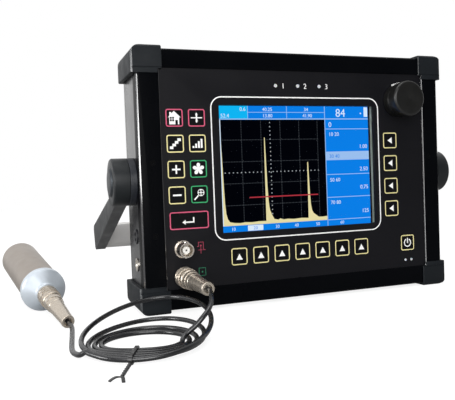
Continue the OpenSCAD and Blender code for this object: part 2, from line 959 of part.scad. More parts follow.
// Plug on a jack at the origin: a core in the barrel, a shoulder and neck that hold the
// sleeve, a ring nut and a long tapered tail with a mouth for the lead
sleeve_back = -sleeve_gap - flange_t - sleeve_l;
neck_back = sleeve_back - neck_fit;
shoulder_front = -jack_l - neck_fit;
plug_end = -plug_l;
module plug_body() {
    core_tip = contact_fit - jack_l + barrel_depth / 2;
    rotate([90, 0, 0]) rotate_extrude() polygon([
        [socket_r + contact_fit, -core_tip],
        [plug_core_r, -core_tip],
        [plug_core_r, -shoulder_front],
        [shoulder_r, -shoulder_front],
        [shoulder_r, -sleeve_back - sleeve_wall - neck_fit],
        [neck_r, -sleeve_back - sleeve_wall - neck_fit],
        [neck_r, -neck_back],
        [shoulder_r, -neck_back],
        [shoulder_r, -neck_back + rib_gap],
        [nut_ring_r, -neck_back + rib_gap],
        [nut_ring_r, -neck_back + rib_gap + nut_ring_l],
        [shoulder_r, -neck_back + rib_gap + nut_ring_l],
        [tail_r, plug_l - tail_rim_l],
        [tail_r, plug_l],
        [tail_bore_r, plug_l],
        [tail_bore_r, plug_l - tail_bore_l],
        [0, plug_l - tail_bore_l],
        [0, jack_l],
        [socket_r + contact_fit, jack_l]
    ]);
}

// Turning sleeve of a plug, ribbed for the fingers
module plug_sleeve() {
    front = -sleeve_gap - flange_t;
    difference() {
        union() {
            rod(0, 0, sleeve_back, front, sleeve_r - sleeve_chamfer);
            for (i = [0 : sleeve_ribs - 1])
                rod(
                    0, 0, front - i * (rib_t + rib_gap) - rib_t, front - i * (rib_t + rib_gap),
                    sleeve_r
                );
        }
        rod(0, 0, sleeve_back + sleeve_wall, front + over, sleeve_bore_r);
        rod(0, 0, sleeve_back - over, front + over, neck_r + neck_fit);
    }
}
module on_lower_jack() {
    translate([jack_x, panel_y, lower_jack_z]) children();
}
module lead_plug() {
    color("#a9a294") on_lower_jack() plug_body();
}
module lead_plug_sleeve() {
    color("#b5ae9f") on_lower_jack() plug_sleeve();
}

// Round data socket with its pins, on the left side
module data_port() {
    body_r = data_r * port_body_r_share;
    y = front_y + ports_back;
    z = low_z + data_up;
    color("#202226") {
        difference() {
            union() {
                axle(left_x - port_ring_t, left_x, y, z, data_r);
                axle(left_x - port_ring_t, left_x + port_l, y, z, body_r);
            }
            axle(
                left_x - port_ring_t - over, left_x - port_ring_t + data_socket_l, y, z,
                data_r * data_socket_share
            );
        }
        for (i = [0 : data_pins - 1])
            translate([
                0, data_r * data_pin_ring_share * cos(360 * i / data_pins),
                data_r * data_pin_ring_share * sin(360 * i / data_pins)
            ]) axle(left_x, left_x + data_socket_l, y, z, data_pin_r);
    }
}

// Round charging socket with a centre pin
module charge_port() {
    y = front_y + ports_back;
    z = low_z + charge_up;
    color("#c2c2c0") {
        difference() {
            union() {
                axle(left_x - port_ring_t, left_x, y, z, charge_r);
                axle(left_x - port_ring_t, left_x + port_l, y, z, charge_r * port_body_r_share);
            }
            axle(
                left_x - port_ring_t - over, left_x - port_ring_t + charge_hole_l, y, z,
                charge_r * charge_hole_share
            );
        }
        axle(left_x, left_x - port_ring_t + charge_hole_l + joined, y, z, charge_pin_r);
    }
}

// Fixed plates under the hubs
module hub_plates() {
    color("#17181a") both_sides() difference() {
        axle(left_x - plate_t, left_x, 0, pivot_z, hub_r);
        axle(left_x - plate_t - over, left_x + over, 0, pivot_z, pivot_r + pivot_fit);
    }
}

// Frame of an arm at rest: u runs along the arm and v square to it
module arm_frame() {
    translate([0, 0, pivot_z]) rotate([-arm_dip, 0, 0]) children();
}
module grip_outline(by = 0) {
    polygon(grown(
        arm_reach - grip_from_end - grip_t, grip_v - grip_w / 2, grip_t, grip_w, grip_r, by
    ));
}

// Arms with their hubs. The lower edge of an arm runs straight off the hub, and the arm
// widens towards its end
module handle_arms() {
    color("#26272b") both_sides() difference() {
        union() {
            translate([hub_outer_x, 0, pivot_z]) rotate([-90, 0, 0]) rotate([0, 90, 0]) rotate_extrude()
                polygon([
                    [0, 0],
                    [hub_r - hub_chamfer, 0],
                    [hub_r, hub_chamfer],
                    [hub_r, hub_l],
                    [0, hub_l]
                ]);
            arm_frame() side_plate(arm_inner_x - arm_t, arm_t) polygon([
                [0, arm_root_share * -hub_r],
                [arm_reach - arm_end_cut, -hub_r],
                [arm_reach, arm_end_cut - hub_r],
                [arm_reach, arm_end_w - arm_end_cut - hub_r],
                [arm_reach - arm_end_cut, arm_end_w - hub_r],
                [hub_r, -arm_root_drop],
                [0, 0]
            ]);
        }
        axle(hub_outer_x - over, hub_inner_x + over, 0, pivot_z, pivot_r + pivot_fit);
        axle(hub_outer_x - over, hub_outer_x + cup_depth, 0, pivot_z, cap_r + cap_fit);
        arm_frame() side_plate(arm_inner_x - grip_socket, grip_socket + over)
            grip_outline(grip_fit);
    }
}

// Grip bar, with both ends let into the arms
module handle_grip() {
    half = -arm_inner_x + grip_socket - grip_end_gap;
    color("#b8b4ad") arm_frame() side_plate(-half, 2 * half) grip_outline();
}

// Caps over the pivot bolts
module hub_caps() {
    color("#8b8f94") both_sides() {
        axle(hub_outer_x, hub_outer_x + cap_t, 0, pivot_z, cap_r);
        translate([hub_outer_x - cap_proud, 0, pivot_z]) rotate([0, 90, 0])
            cylinder(h = cap_proud, r1 = cap_r - cap_proud, r2 = cap_r);
    }
}

// Shoulder bolts that carry the hubs
module pivot_bolts() {
    seat_x = hub_outer_x + cup_depth - bolt_head_gap;
    tip_x = left_x + case_wall + boss_l - bolt_tip_gap;
    color("#9a9da1") both_sides() {
        axle(seat_x - bolt_head_t, seat_x, 0, pivot_z, bolt_head_r);
        axle(seat_x - bolt_head_t / 2, tip_x, 0, pivot_z, pivot_r);
    }
}

// The probe lies on its collar. Its frame has the collar's edge at the origin and the
// wear face towards +Y
module probe_frame() {
    translate([probe_x, probe_y, probe_z]) rotate([probe_tilt, 0, probe_turn]) children();
}
jack_face = -shoulder_l;
module probe_body() {
    body_r = probe_r - probe_body_cut;
    color("#b5b1a8") probe_frame() rotate([-90, 0, 0]) rotate_extrude() polygon([
        [0, jack_face],
        [shoulder_end_r, jack_face],
        [probe_r - edge_cut, 0],
        [probe_r, edge_cut],
        [probe_r, collar_l],
        [body_r - groove_cut, collar_l],
        [body_r - groove_cut, collar_l + groove_l],
        [body_r, collar_l + groove_l],
        [body_r, probe_l - edge_cut],
        [body_r - edge_cut, probe_l],
        [0, probe_l]
    ]);
}
module at_probe_jack() {
    probe_frame() translate([0, jack_face, 0]) children();
}
module probe_jack() {
    color("#b9b4a8") at_probe_jack() {
        jack_shell();
        rod(0, 0, socket_short - jack_l, 0, socket_r);
    }
}
module probe_face() {
    color("#c9a27a") probe_frame()
        rod(0, 0, probe_l, probe_l + face_t, probe_r - probe_body_cut - edge_cut - face_cut);
}
module probe_plug() {
    color("#a9a294") at_probe_jack() plug_body();
}
module probe_plug_sleeve() {
    color("#b5ae9f") at_probe_jack() plug_sleeve();
}

// Vectors for the lead
function unit(v) = v / norm(v);
function across(t) = unit(cross(t, [0, 0, 1]));
function ring(p, t, r, sides) = let(a = across(t), b = cross(a, t)) [
    for (i = [0 : sides - 1])
        p + r * (a * cos(360 * (i + 0.5) / sides) + b * sin(360 * (i + 0.5) / sides))
];

// A closed tube along points, with the direction of its first and last ring given
module tube(points, first, last, r, sides) {
    n = len(points);
    rings = [for (i = [0 : n - 1]) ring(
        points[i],
        i == 0 ? first : i == n - 1 ? last : unit(points[i + 1] - points[i - 1]),
        r, sides
    )];
    verts = [for (loop = rings) for (p = loop) p];
    walls = [for (i = [0 : n - 2]) for (j = [0 : sides - 1]) let(
        a = i * sides + j, b = i * sides + (j + 1) % sides
    ) for (f = [[a, a + sides, b + sides], [a, b + sides, b]]) f];
    ends = [for (j = [1 : sides - 2]) for (f = [
        [0, j, j + 1], [(n - 1) * sides, (n - 1) * sides + j + 1, (n - 1) * sides + j]
    ]) f];
    polyhedron(points = verts, faces = concat(walls, ends), convexity = 10);
}

// Centre line of the coil at s turns from the tie. The loops lie inside each other and all
// pass the tie side by side. Each reaches further away, and the last leans up the case
coil_n = [sin(coil_turn), cos(coil_turn)];
coil_t = [-coil_n[1], coil_n[0]];
function coil_point(s) = let(
    a = 360 * s,
    out = coil_pitch * s,
    more = loop_growth * pow(max(s, 0) / coil_loops, growth_power),
    far = 1 - cos(a),
    up = loop_rise * pow(max(s - rise_from, 0) / (coil_loops - rise_from), 2),
    xy = [tie_x, tie_y]
        + coil_n * (loop_reach * far + more * far * far / 2 - out * cos(a))
        + coil_t * ((loop_half_w + out) * sin(a))
) [xy[0], xy[1], lead_r + up * far / 2 + tie_lift * pow((1 + cos(a)) / 2, lift_power)];
coil_step = 1 / coil_rings;
coil_count = round((coil_last - coil_first) / coil_step);
coil_line = [for (i = [0 : coil_count])
    coil_point(coil_first + (coil_last - coil_first) * i / coil_count)];
function coil_way(s) = unit(coil_point(s + coil_step / 8) - coil_point(s - coil_step / 8));
coil_in = coil_way(coil_first);
coil_out = coil_way(coil_last);
coil_start = coil_line[0] - coil_in * 2 * lead_r;
coil_end = coil_line[coil_count] + coil_out * 2 * lead_r;

// Least gap of the coil to itself, from each ring to the strands at least half a loop on
function to_span(p, a, b) = let(
    k = max(0, min(1, (p - a) * (b - a) / ((b - a) * (b - a))))
) norm(p - a - k * (b - a));
coil_gap = min([for (i = [0 : coil_count - 1])
    for (j = [i + coil_rings / 2 : 1 : coil_count - 1])
        to_span(coil_line[i], coil_line[j], coil_line[j + 1])]) - 2 * lead_r;
echo(str("Least gap of the coil to itself, mm: ", coil_gap));

module lead_coil() {
    color("#1c1c1e") tube(
        concat([coil_start], coil_line, [coil_end]), coil_in, coil_out, lead_r, coil_sides
    );
}

// The stretch from the unit's plug to the coil
drop_start = [jack_x, panel_y - plug_l + tail_bore_l, lower_jack_z];
module lead_drop() {
    color("#1c1c1e") tube(
        concat([drop_start, drop_start - [0, tail_bore_l, 0]], drop_points, [coil_start]),
        [0, -1, 0], coil_in, lead_r, drop_sides
    );
}

// The stretch from the coil to the probe's plug
probe_way = [
    -sin(probe_turn) * cos(probe_tilt), cos(probe_turn) * cos(probe_tilt), sin(probe_tilt)
];
probe_tail = [probe_x, probe_y, probe_z] + probe_way * (jack_face - plug_l);
module lead_tail() {
    color("#1c1c1e") tube(
        concat([coil_end], tail_points, [probe_tail, probe_tail + probe_way * tail_bore_l]),
        coil_out, probe_way, lead_r, drop_sides
    );
}

// Tie round the strands: a flat band, the twisted wires and their two ends
module twist_tie() {
    band_l = coil_loops * coil_pitch + 2 * lead_r + 2 * tie_slack;
    band_h = 2 * lead_r + tie_slack;
    mid = -coil_loops * coil_pitch / 2;
    front = mid - band_l / 2 - tie_wire;
    color("#151515") translate([tie_x, tie_y, 0]) rotate([0, 0, -coil_turn]) {
        side_plate(-tie_band_w / 2, tie_band_w) difference() {
            polygon(round_rect(
                mid - band_l / 2 - tie_wire, 0, band_l + 2 * tie_wire,
                band_h + 2 * tie_wire, lead_r + tie_wire
            ));
            polygon(round_rect(mid - band_l / 2, tie_wire, band_l, band_h, lead_r));
        }
        translate([0, front + tie_wire / 2, 2 * tie_wire_r]) rotate([90, 0, 0])
            linear_extrude(tie_twist_l, twist = 360 * tie_twists, slices = tie_steps * tie_twists)
                hull() for (x = [-1, 1])
                    translate([x * tie_wire_r, 0]) circle(tie_wire_r, $fn = tie_steps);
        for (a = tie_end_turns)
            translate([0, front + tie_wire - tie_twist_l, 0]) rotate([0, 0, a])
                translate([-tie_end_w / 2, -tie_end_l, tie_end_t / 2])
                    cube([tie_end_w, tie_end_l, tie_end_t]);
    }
}

rear_case();
front_bezel();
case_seal();
keypad_panel();
display_window();
lcd_module();
keypad_board();
main_board();
battery_pack();
battery_cover();
corner_guard(false, true);  // corner_guard_top_left
corner_guard(true, true);  // corner_guard_top_right
corner_guard(false, false);  // corner_guard_bottom_left
corner_guard(true, false);  // corner_guard_bottom_right
frame_screws();
back_screws();
indicator_leds();
rotary_knob();
rotary_encoder();
panel_jacks();
jack_insulators();
data_port();
charge_port();
hub_plates();
handle_arms();
handle_grip();
hub_caps();
pivot_bolts();
lead_plug();
lead_plug_sleeve();
lead_drop();
lead_coil();
lead_tail();
twist_tie();
probe_plug();
probe_plug_sleeve();
probe_body();
probe_jack();
probe_face();
for (k = keys) key(k);
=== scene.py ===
# Portable ultrasonic flaw detector with its probe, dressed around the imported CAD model.
# Numbers in the dictionaries are millimetres and degrees. X runs along the front, Y goes
# into the case and Z is up from the table, as in the CAD.
import json
import math

import bmesh
import bpy
from mathutils import Matrix, Vector
from mathutils.geometry import tessellate_polygon


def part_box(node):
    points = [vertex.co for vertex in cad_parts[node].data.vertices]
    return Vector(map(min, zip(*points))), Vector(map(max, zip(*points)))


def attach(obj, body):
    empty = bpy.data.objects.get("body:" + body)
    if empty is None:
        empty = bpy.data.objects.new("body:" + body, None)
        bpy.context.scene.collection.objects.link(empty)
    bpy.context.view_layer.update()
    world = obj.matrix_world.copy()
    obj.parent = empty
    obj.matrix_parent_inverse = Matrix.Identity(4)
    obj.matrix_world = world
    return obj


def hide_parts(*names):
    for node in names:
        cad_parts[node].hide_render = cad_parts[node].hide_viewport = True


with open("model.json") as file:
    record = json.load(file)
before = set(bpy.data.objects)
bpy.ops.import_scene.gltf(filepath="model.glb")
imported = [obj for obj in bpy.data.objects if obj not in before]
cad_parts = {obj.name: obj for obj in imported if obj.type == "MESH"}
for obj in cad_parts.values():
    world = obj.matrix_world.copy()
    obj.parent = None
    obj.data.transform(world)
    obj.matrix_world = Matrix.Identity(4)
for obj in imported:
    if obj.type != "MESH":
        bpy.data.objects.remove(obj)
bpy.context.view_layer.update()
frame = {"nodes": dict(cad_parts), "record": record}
nodes = frame["nodes"]
bodyOf = {node: body for body, members in frame["record"]["behaviour"]["bodies"].items() for node in members}
scene = bpy.context.scene
toMetres = 0.001
perMetre = 1000


def camelOf(name):  # a node's name as a piece's: key_menu_1 gives keyMenu1
    return name[0] + name.title().replace("_", "")[1:]


def newObject(name, data):  # an object that is linked into the scene
    made = bpy.data.objects.new(name, data)
    scene.collection.objects.link(made)
    return made


# The camera stands where the photograph was taken from
view = {
    "place": (-193.304, -403.173, 85.780), "right": (0.940789, -0.336907, -0.037554),
    "up": (0.046237, 0.017782, 0.998772), "back": (-0.335826, -0.941370, 0.032306), "lens": 47.473,
    "sensor": 36,
}
cameraData = bpy.data.cameras.new("camera")
cameraData.lens = view["lens"]
cameraData.sensor_width = view["sensor"]
camera = newObject("camera", cameraData)
turn = Matrix((view["right"], view["up"], view["back"])).transposed().to_4x4()
camera.matrix_world = Matrix.Translation(Vector(view["place"]) * toMetres) @ turn
scene.camera = camera
print("camera placed")


def linear(text):  # an sRGB hex colour as the shader takes it
    parts = [int(text[i : i + 2], 16) / 255 for i in (1, 3, 5)]
    return [c / 12.92 if c <= 0.04045 else ((c + 0.055) / 1.055) ** 2.4 for c in parts] + [1]


def addNode(tree, kind, inputs=None, **settings):  # a node with its settings, values and links
    node = tree.nodes.new(kind)
    for key, value in settings.items():
        setattr(node, key, value)
    for key, value in (inputs or {}).items():
        if isinstance(value, bpy.types.NodeSocket):
            tree.links.new(value, node.inputs[key])
        else:
            node.inputs[key].default_value = value
    return node


def finish(
    name, colour, second=None, patch=30, rough=0.4, smear=18, grain=None,
    stretch=None, onUv=False, pebbled=False, gloss=0.5, **sockets,
):
    # second: tone in patches of that size. rough: one value, or two that vary over smear.
    # grain: its size and its depth. stretch: how much longer it is along each axis
    material = bpy.data.materials.new(name)
    material.use_nodes = True
    tree = material.node_tree
    tree.nodes.clear()
    place = addNode(tree, "ShaderNodeTexCoord").outputs["UV" if onUv else "Object"]
    values = {key.replace("_", " "): value for key, value in sockets.items()}
    shader = addNode(tree, "ShaderNodeBsdfPrincipled", {"Specular IOR Level": gloss, **values})
    shader.inputs["Base Color"].default_value = linear(colour)
    if second:
        cloud = addNode(tree, "ShaderNodeTexNoise", {"Vector": place, "Scale": perMetre / patch, "Detail": 4})
        tones = {"Factor": cloud.outputs[0], 6: linear(colour), 7: linear(second)}  # its sockets for colours
        tone = addNode(tree, "ShaderNodeMix", tones, data_type="RGBA")
        tree.links.new(tone.outputs[2], shader.inputs["Base Color"])
    if isinstance(rough, tuple):
        cloud = addNode(tree, "ShaderNodeTexNoise", {"Vector": place, "Scale": perMetre / smear, "Detail": 5})
        limits = {"From Min": 0.3, "From Max": 0.7, "To Min": rough[0], "To Max": rough[1]}
        span = addNode(tree, "ShaderNodeMapRange", {"Value": cloud.outputs[0], **limits})
        tree.links.new(span.outputs[0], shader.inputs["Roughness"])
    else:
        shader.inputs["Roughness"].default_value = rough
    if grain:
        size, depth = grain
        if stretch:
            longer = addNode(tree, "ShaderNodeMapping", {"Vector": place, "Scale": [1 / s for s in stretch]})
            place = longer.outputs[0]
        inputs = {"Vector": place, "Scale": perMetre / size}
        if pebbled:
            texture = addNode(tree, "ShaderNodeTexVoronoi", inputs, feature="SMOOTH_F1")
        else:
            texture = addNode(tree, "ShaderNodeTexNoise", {**inputs, "Detail": 3})
        bump = addNode(tree, "ShaderNodeBump", {"Height": texture.outputs[0], "Distance": depth * toMetres})
        tree.links.new(bump.outputs[0], shader.inputs["Normal"])
    addNode(tree, "ShaderNodeOutputMaterial", {"Surface": shader.outputs[0]})
    return material


def lit(name, colour):  # a colour that the screen gives off itself
    glow = {"Emission_Color": linear(colour), "Emission_Strength": 1.0}
    return finish("litScreen" + name, "#000000", rough=0.5, gloss=0.0, **glow)


def ink(name, tones):  # thick, opaque screen ink
    return finish("screenInk" + name, *tones, (0.55, 0.65), 4, (0.4, 0.004), gloss=0.2)


# Case and frame
mouldedCase = finish(  # ABS moulded against spark-eroded steel: fine satin, grey at a low angle
    "mouldedCaseAbs", "#101013", "#16161a", 45, (0.2, 0.26), 22, (0.8, 0.006), gloss=0.55,
)
glossFrame = finish(  # polished ABS frame: nearly black face on, and bright only along its bevels
    "polishedFrameAbs", "#050608", "#08090c", 60, (0.24, 0.34), 30, (3.0, 0.004), gloss=0.03,
)
paintedHighlightBevel = finish(  # a bevel in a lighter, glossier finish: its lighter colour is a painted highlight that, with its gloss, keeps a thin bright line
    "rubbedBevel", "#1c1c1f", "#2a2a2d", 12, (0.1, 0.18), 8, (1.2, 0.003), gloss=1.0, Coat_Weight=1.0,
)
sealRubber = finish(  # extruded EPDM cord: dull, dusty black
    "extrudedSealRubber", "#202020", "#2b2b2b", 8, (0.7, 0.85), 6, (0.5, 0.02),
)
panelFilm = finish(  # velvet polycarbonate film, printed from behind: a soft, even black
    "velvetPanelFilm", "#0c0c10", "#121216", 70, (0.40, 0.50), 28, (0.7, 0.010), gloss=0.16,
)
coverPlastic = finish(  # moulded ABS lid, coarser grain than the case
    "mouldedCoverAbs", "#1f2023", "#27282b", 35, (0.42, 0.55), 15, (1.1, 0.03),
)
guardRubber = finish(  # moulded neoprene: bluish black with a dry bloom, grey at a low angle
    "mouldedGuardRubber", "#15181b", "#1c2024", 14, (0.42, 0.56), 9, (0.9, 0.02), pebbled=True, gloss=0.14,
)
paintedHighlightGuardEdge = finish(  # the guards' corner in a lighter, glossier finish: its lighter colour is a painted highlight for a soft pale line
    "handledGuardEdge", "#24272a", "#303336", 10, (0.3, 0.4), 6, (0.6, 0.006), gloss=0.75,
)
# Keys and prints
keySilicone = finish(  # silicone key under a matt coat: soft black, duller than the panel
    "coatedKeySilicone", "#08080a", "#0e0e10", 9, (0.5, 0.62), 6, (0.5, 0.01), gloss=0.08,
)
inkTones = {
    "White": ("#ffffff", "#f4f4f1", 6), "Cream": ("#f3e9ae", "#e6da98", 6), "Red": ("#e06686", "#cf5573", 6),
    "Green": ("#43ad73", "#359c63", 6), "DarkRed": ("#ad485d", "#98394d", 4),
    "DarkGreen": ("#31795a", "#286a4b", 4),
}
inks = {name: ink(name, tones) for name, tones in inkTones.items()}
# Screen
paneClear = finish(  # clear acrylic with an anti-reflection coat: hardly any glare
    "coatedPaneAcrylic", "#ffffff", "#f6faff", 60, 0.0, Transmission_Weight=1.0, IOR=1.02,
)
displayFrame = finish(  # thin black-painted steel round the glass
    "paintedDisplayFrame", "#060708", "#0b0c0e", 10, (0.35, 0.5), 8, (0.6, 0.01), gloss=0.2,
)
displayRim = finish(  # the display's bare steel rim, seen through the window
    "bareDisplayRim", "#aab4ad", "#8f9a93", 9, (0.3, 0.45), 6, (0.5, 0.006), Metallic=0.6,
)
lightTones = {
    "Blue": "#0b7fe6", "Cyan": "#10b6f2", "Pale": "#9cc0ee", "Dot": "#c6cbd0", "White": "#dcecfb",
    "Black": "#020308", "Cream": "#e7dba4", "Red": "#b23440", "Grey": "#43474c",
}
lights = {name: lit(name, colour) for name, colour in lightTones.items()}
# Boards, battery and other inner parts
solderMask = finish(  # glossy green solder mask over copper
    "greenSolderMask", "#1d5b3a", "#246a45", 5, (0.25, 0.4), 10, (1.5, 0.03),
)
batteryWrap = finish(  # shrunk PVC film: blue and glossy, with soft waves
    "shrunkBatteryFilm", "#2d5587", "#35619a", 25, (0.25, 0.35), 20, (9, 0.15), Coat_Weight=0.3,
)
ledEpoxy = finish(  # diffused epoxy dome, milky white
    "diffusedLedEpoxy", "#d5d8d8", "#c6cacc", 3, (0.2, 0.3), 3, Subsurface_Weight=0.2, Subsurface_Scale=0.001,
)
# Knob, jacks and ports
knobPlastic = finish(  # moulded nylon with a soft matt skin: very dark, warm and even
    "mouldedKnobNylon", "#0d0d0c", "#131312", 12, (0.3, 0.4), 8, (0.6, 0.012), gloss=0.45,
)
turnedNickel = finish(  # turned brass under dull nickel: warm silver, fine rings round the axis
    "turnedDullNickel", "#d0c6b9", "#b3a99b", 2.5, (0.22, 0.34), 3, (0.5, 0.01),
    stretch=(8, 0.4, 1), onUv=True, Metallic=0.85,
)
jackNickel = finish(  # the jacks' cleaner nickel: brighter and a little cooler
    "platedJackNickel", "#dcd6ce", "#c6beb4", 3, (0.2, 0.34), 3, (0.6, 0.01), Metallic=1.0,
)
steelZinc = finish(  # zinc-plated steel: pale grey, clouded
    "platedScrewSteel", "#8f9194", "#a2a4a6", 2, (0.3, 0.45), 2, (0.4, 0.01), Metallic=1.0,
)
blackOxide = finish(  # steel blackened in oxide: dark with a faint oily gloss
    "blackenedScrewSteel", "#060708", "#0a0b0d", 2, (0.4, 0.5), 2, (0.4, 0.006), gloss=0.04,
)
insulatorWhite = finish(  # turned PTFE: waxy white
    "turnedWhitePtfe", "#fffefa", "#f3f0e8", 2, (0.4, 0.5), 2, (0.5, 0.01),
)
portBlack = finish(  # glass-filled nylon socket: black with a slight fleck
    "mouldedPortNylon", "#17181b", "#202126", 3, (0.32, 0.48), 3, (0.4, 0.01),
)
# Handle
hubPlastic = finish(  # glass-filled nylon, moulded smooth: bluish black with a soft sheen
    "mouldedHubNylon", "#1d2026", "#24272e", 20, (0.34, 0.46), 10, (0.7, 0.012),
)
armPlastic = finish(  # the arms' nylon, a little greyer
    "mouldedArmNylon", "#191c1e", "#202325", 25, (0.38, 0.5), 12, (0.9, 0.015), gloss=0.25,
)
anodisedGrip = finish(  # brushed, clear-anodised aluminium: satin grey, grain along the bar
    "brushedAnodisedAluminium", "#dedcda", "#d4d2d0", 30, (0.28, 0.4), 12, (0.35, 0.01),
    stretch=(60, 1, 1), Metallic=0.15,
)
capMetal = finish(  # spun aluminium cap, dyed dark and satin
    "spunCapAluminium", "#33373b", "#3b3f43", 6, (0.42, 0.52), 4, (0.4, 0.01), Metallic=0.7,
)
# Lead and probe
leadSheath = finish(  # soft PVC sheath: satin black with grey highlights and a little dust
    "extrudedLeadPvc", "#101114", "#191a1d", 7, (0.22, 0.32), 5, (0.8, 0.012), gloss=0.7,
)
tiePlastic = finish(  # PVC ribbon over a wire: black, creased
    "ribbonTiePvc", "#141415", "#202021", 3, (0.2, 0.35), 2, (0.9, 0.06), gloss=0.7,
)
probeBody = finish(  # bead-blasted, clear-anodised aluminium: warm grey, quite even
    "blastedProbeAluminium", "#a49c94", "#989089", 10, (0.4, 0.5), 7, (0.5, 0.012), Metallic=0.75,
)
probeCone = finish(  # the turned collar: paler and cooler than the body
    "turnedProbeAluminium", "#cbd3db", "#bec6ce", 9, (0.34, 0.44), 6, (0.5, 0.008),
    stretch=(10, 0.5, 1), onUv=True, Metallic=0.4,
)
wearFace = finish(  # cast ceramic-filled epoxy: tan and stone-dull
    "castWearEpoxy", "#b98d62", "#a67c54", 2, (0.45, 0.6), 2, (0.4, 0.02),
)
print("materials mixed")


# Ways to make a piece
def meshOf(build, name, outward=True):  # ends a bmesh as a mesh, with its faces turned outwards
    if outward:
        bmesh.ops.recalc_face_normals(build, faces=build.faces)
    mesh = bpy.data.meshes.new(name)
    build.to_mesh(mesh)
    build.free()
    return mesh


def settled(holder):  # the mesh of an object with its modifiers applied, and the object removed
    shown = holder.evaluated_get(bpy.context.evaluated_depsgraph_get())
    mesh = bpy.data.meshes.new_from_object(shown)
    bpy.data.objects.remove(holder)
    return mesh


def moved(mesh, place, angle=0, axis="X"):  # a mesh turned by an angle and then put at a place
    turnTo = Matrix.Rotation(math.radians(angle), 4, axis)
    mesh.transform(Matrix.Translation(Vector(place) * toMetres) @ turnTo)
    return mesh


def addPiece(name, parts, body, replaces=(), sharp=32):
    # parts: a mesh and a material each. They are joined, with a slot for each material
    build = bmesh.new()
    build.loops.layers.uv.new("UVMap")
    materials = []
    for part, material in parts:
        if material not in materials:
            materials.append(material)
        start = len(build.faces)
        build.from_mesh(part)
        build.faces.ensure_lookup_table()
        for face in build.faces[start:]:
            face.material_index = materials.index(material)
        bpy.data.meshes.remove(part)
    mesh = meshOf(build, name, outward=False)
    for material in materials:
        mesh.materials.append(material)
    mesh.shade_smooth()
    mesh.set_sharp_from_angle(angle=math.radians(sharp))
    piece = newObject(name, mesh)
    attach(piece, body)
    if replaces:
        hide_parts(*replaces)
    return piece


softening = {"weld": 0.002, "straight": 0.6, "segments": 2, "turnFrom": 35}


def softened(name, width):  # a CAD node's mesh with its edges bevelled
    build = bmesh.new()
    build.from_mesh(nodes[name].data)
    bmesh.ops.remove_doubles(build, verts=build.verts, dist=softening["weld"] * toMetres)
    straight = math.radians(softening["straight"])
    bmesh.ops.dissolve_limit(build, angle_limit=straight, verts=build.verts, edges=build.edges)
    holder = newObject(name + "Soft", meshOf(build, name + "Soft", outward=False))
    bevel = holder.modifiers.new("edges", "BEVEL")
    bevel.width = width * toMetres
    bevel.segments = softening["segments"]
    bevel.limit_method = "ANGLE"
    bevel.angle_limit = math.radians(softening["turnFrom"])
    bevel.use_clamp_overlap = True
    plain = settled(holder)
    plain.materials.clear()
    return plain


grainRound = 0.04  # metres of grain round a turned shape, whatever its radius
rounding = {"reachShare": 0.45, "straight": 165, "least": 0.02, "steps": 3}


def rounded(profile, radius, closed=False):  # a profile with its corners rounded
    points = []
    count = len(profile)
    steps = rounding["steps"]
    for i, corner in enumerate(profile):
        corner = Vector(corner)
        if not closed and i in (0, count - 1):
            points.append(corner)
            continue
        before = Vector(profile[i - 1]) - corner
        after = Vector(profile[(i + 1) % count]) - corner
        reach = min(radius, before.length * rounding["reachShare"], after.length * rounding["reachShare"])
        if before.angle(after) > math.radians(rounding["straight"]) or reach < rounding["least"]:
            points.append(corner)
            continue
        a = corner + before.normalized() * reach
        b = corner + after.normalized() * reach
        for t in (k / steps for k in range(steps + 1)):
            points.append(a * (1 - t) ** 2 + corner * 2 * t * (1 - t) + b * t * t)
    return points


def skinned(name, rings, lengths=None, uvAcross=0.0, closed=False, capped=False):
    # a mesh over rings of points in metres, all with as many points, or with one at a pole
    build = bmesh.new()
    uv = build.loops.layers.uv.new("UVMap")
    sides = max(len(ring) for ring in rings)
    rings = [[build.verts.new(point) for point in ring] for ring in rings]
    lengths = lengths or [0.0] * len(rings)
    pairs = list(zip(range(len(rings)), range(1, len(rings))))
    if closed:
        pairs.append((len(rings) - 1, 0))
    for i, k in pairs:
        for j in range(sides):
            corners = {}
            for ring, side in ((i, j), (i, j + 1), (k, j + 1), (k, j)):
                corner = rings[ring][side % len(rings[ring])]
                corners[corner] = (side / sides * uvAcross, lengths[ring])
            if len(corners) < 3:
                continue
            for loop, place in zip(build.faces.new(list(corners)).loops, corners.values()):
                loop[uv].uv = place
    if capped:
        build.faces.new(rings[0])
        build.faces.new(rings[-1])
    return meshOf(build, name)


def circle(centre, side, other, radius, steps):
    angles = [2 * math.pi * i / steps for i in range(steps)]
    return [centre + (side * math.cos(a) + other * math.sin(a)) * radius for a in angles]


def turned(profile, origin, axis, closed=False, steps=64):  # a lathe shape: (radius, place along the axis)
    axis = Vector(axis).normalized()
    side = axis.cross(Vector((0, 0, 1))).normalized()
    other = axis.cross(side)
    rings, lengths = [], [0.0]
    for r, along in profile:
        centre = (Vector(origin) + axis * along) * toMetres
        rings.append([centre] if r < 1e-6 else circle(centre, side, other, r * toMetres, steps))
    for a, b in zip(profile, profile[1:]):
        lengths.append(lengths[-1] + (Vector(b) - Vector(a)).length * toMetres)
    return skinned("turned", rings, lengths, grainRound, closed)


def swept(path, radius, sides=14):  # a tube along points in metres
    across, rings, lengths = None, [], [0.0]
    for i, point in enumerate(path):
        way = (path[min(i + 1, len(path) - 1)] - path[max(i - 1, 0)]).normalized()
        across = across or way.cross(Vector((0, 0, 1)))
        across = (across - way * across.dot(way)).normalized()
        rings.append(circle(point, across, way.cross(across), radius, sides))
    for a, b in zip(path, path[1:]):
        lengths.append(lengths[-1] + (b - a).length)
    return skinned("swept", rings, lengths, 2 * math.pi * radius, capped=True)


def box(x0, z0, x1, z1):
    return [(x0, z0), (x1, z0), (x1, z1), (x0, z1)]


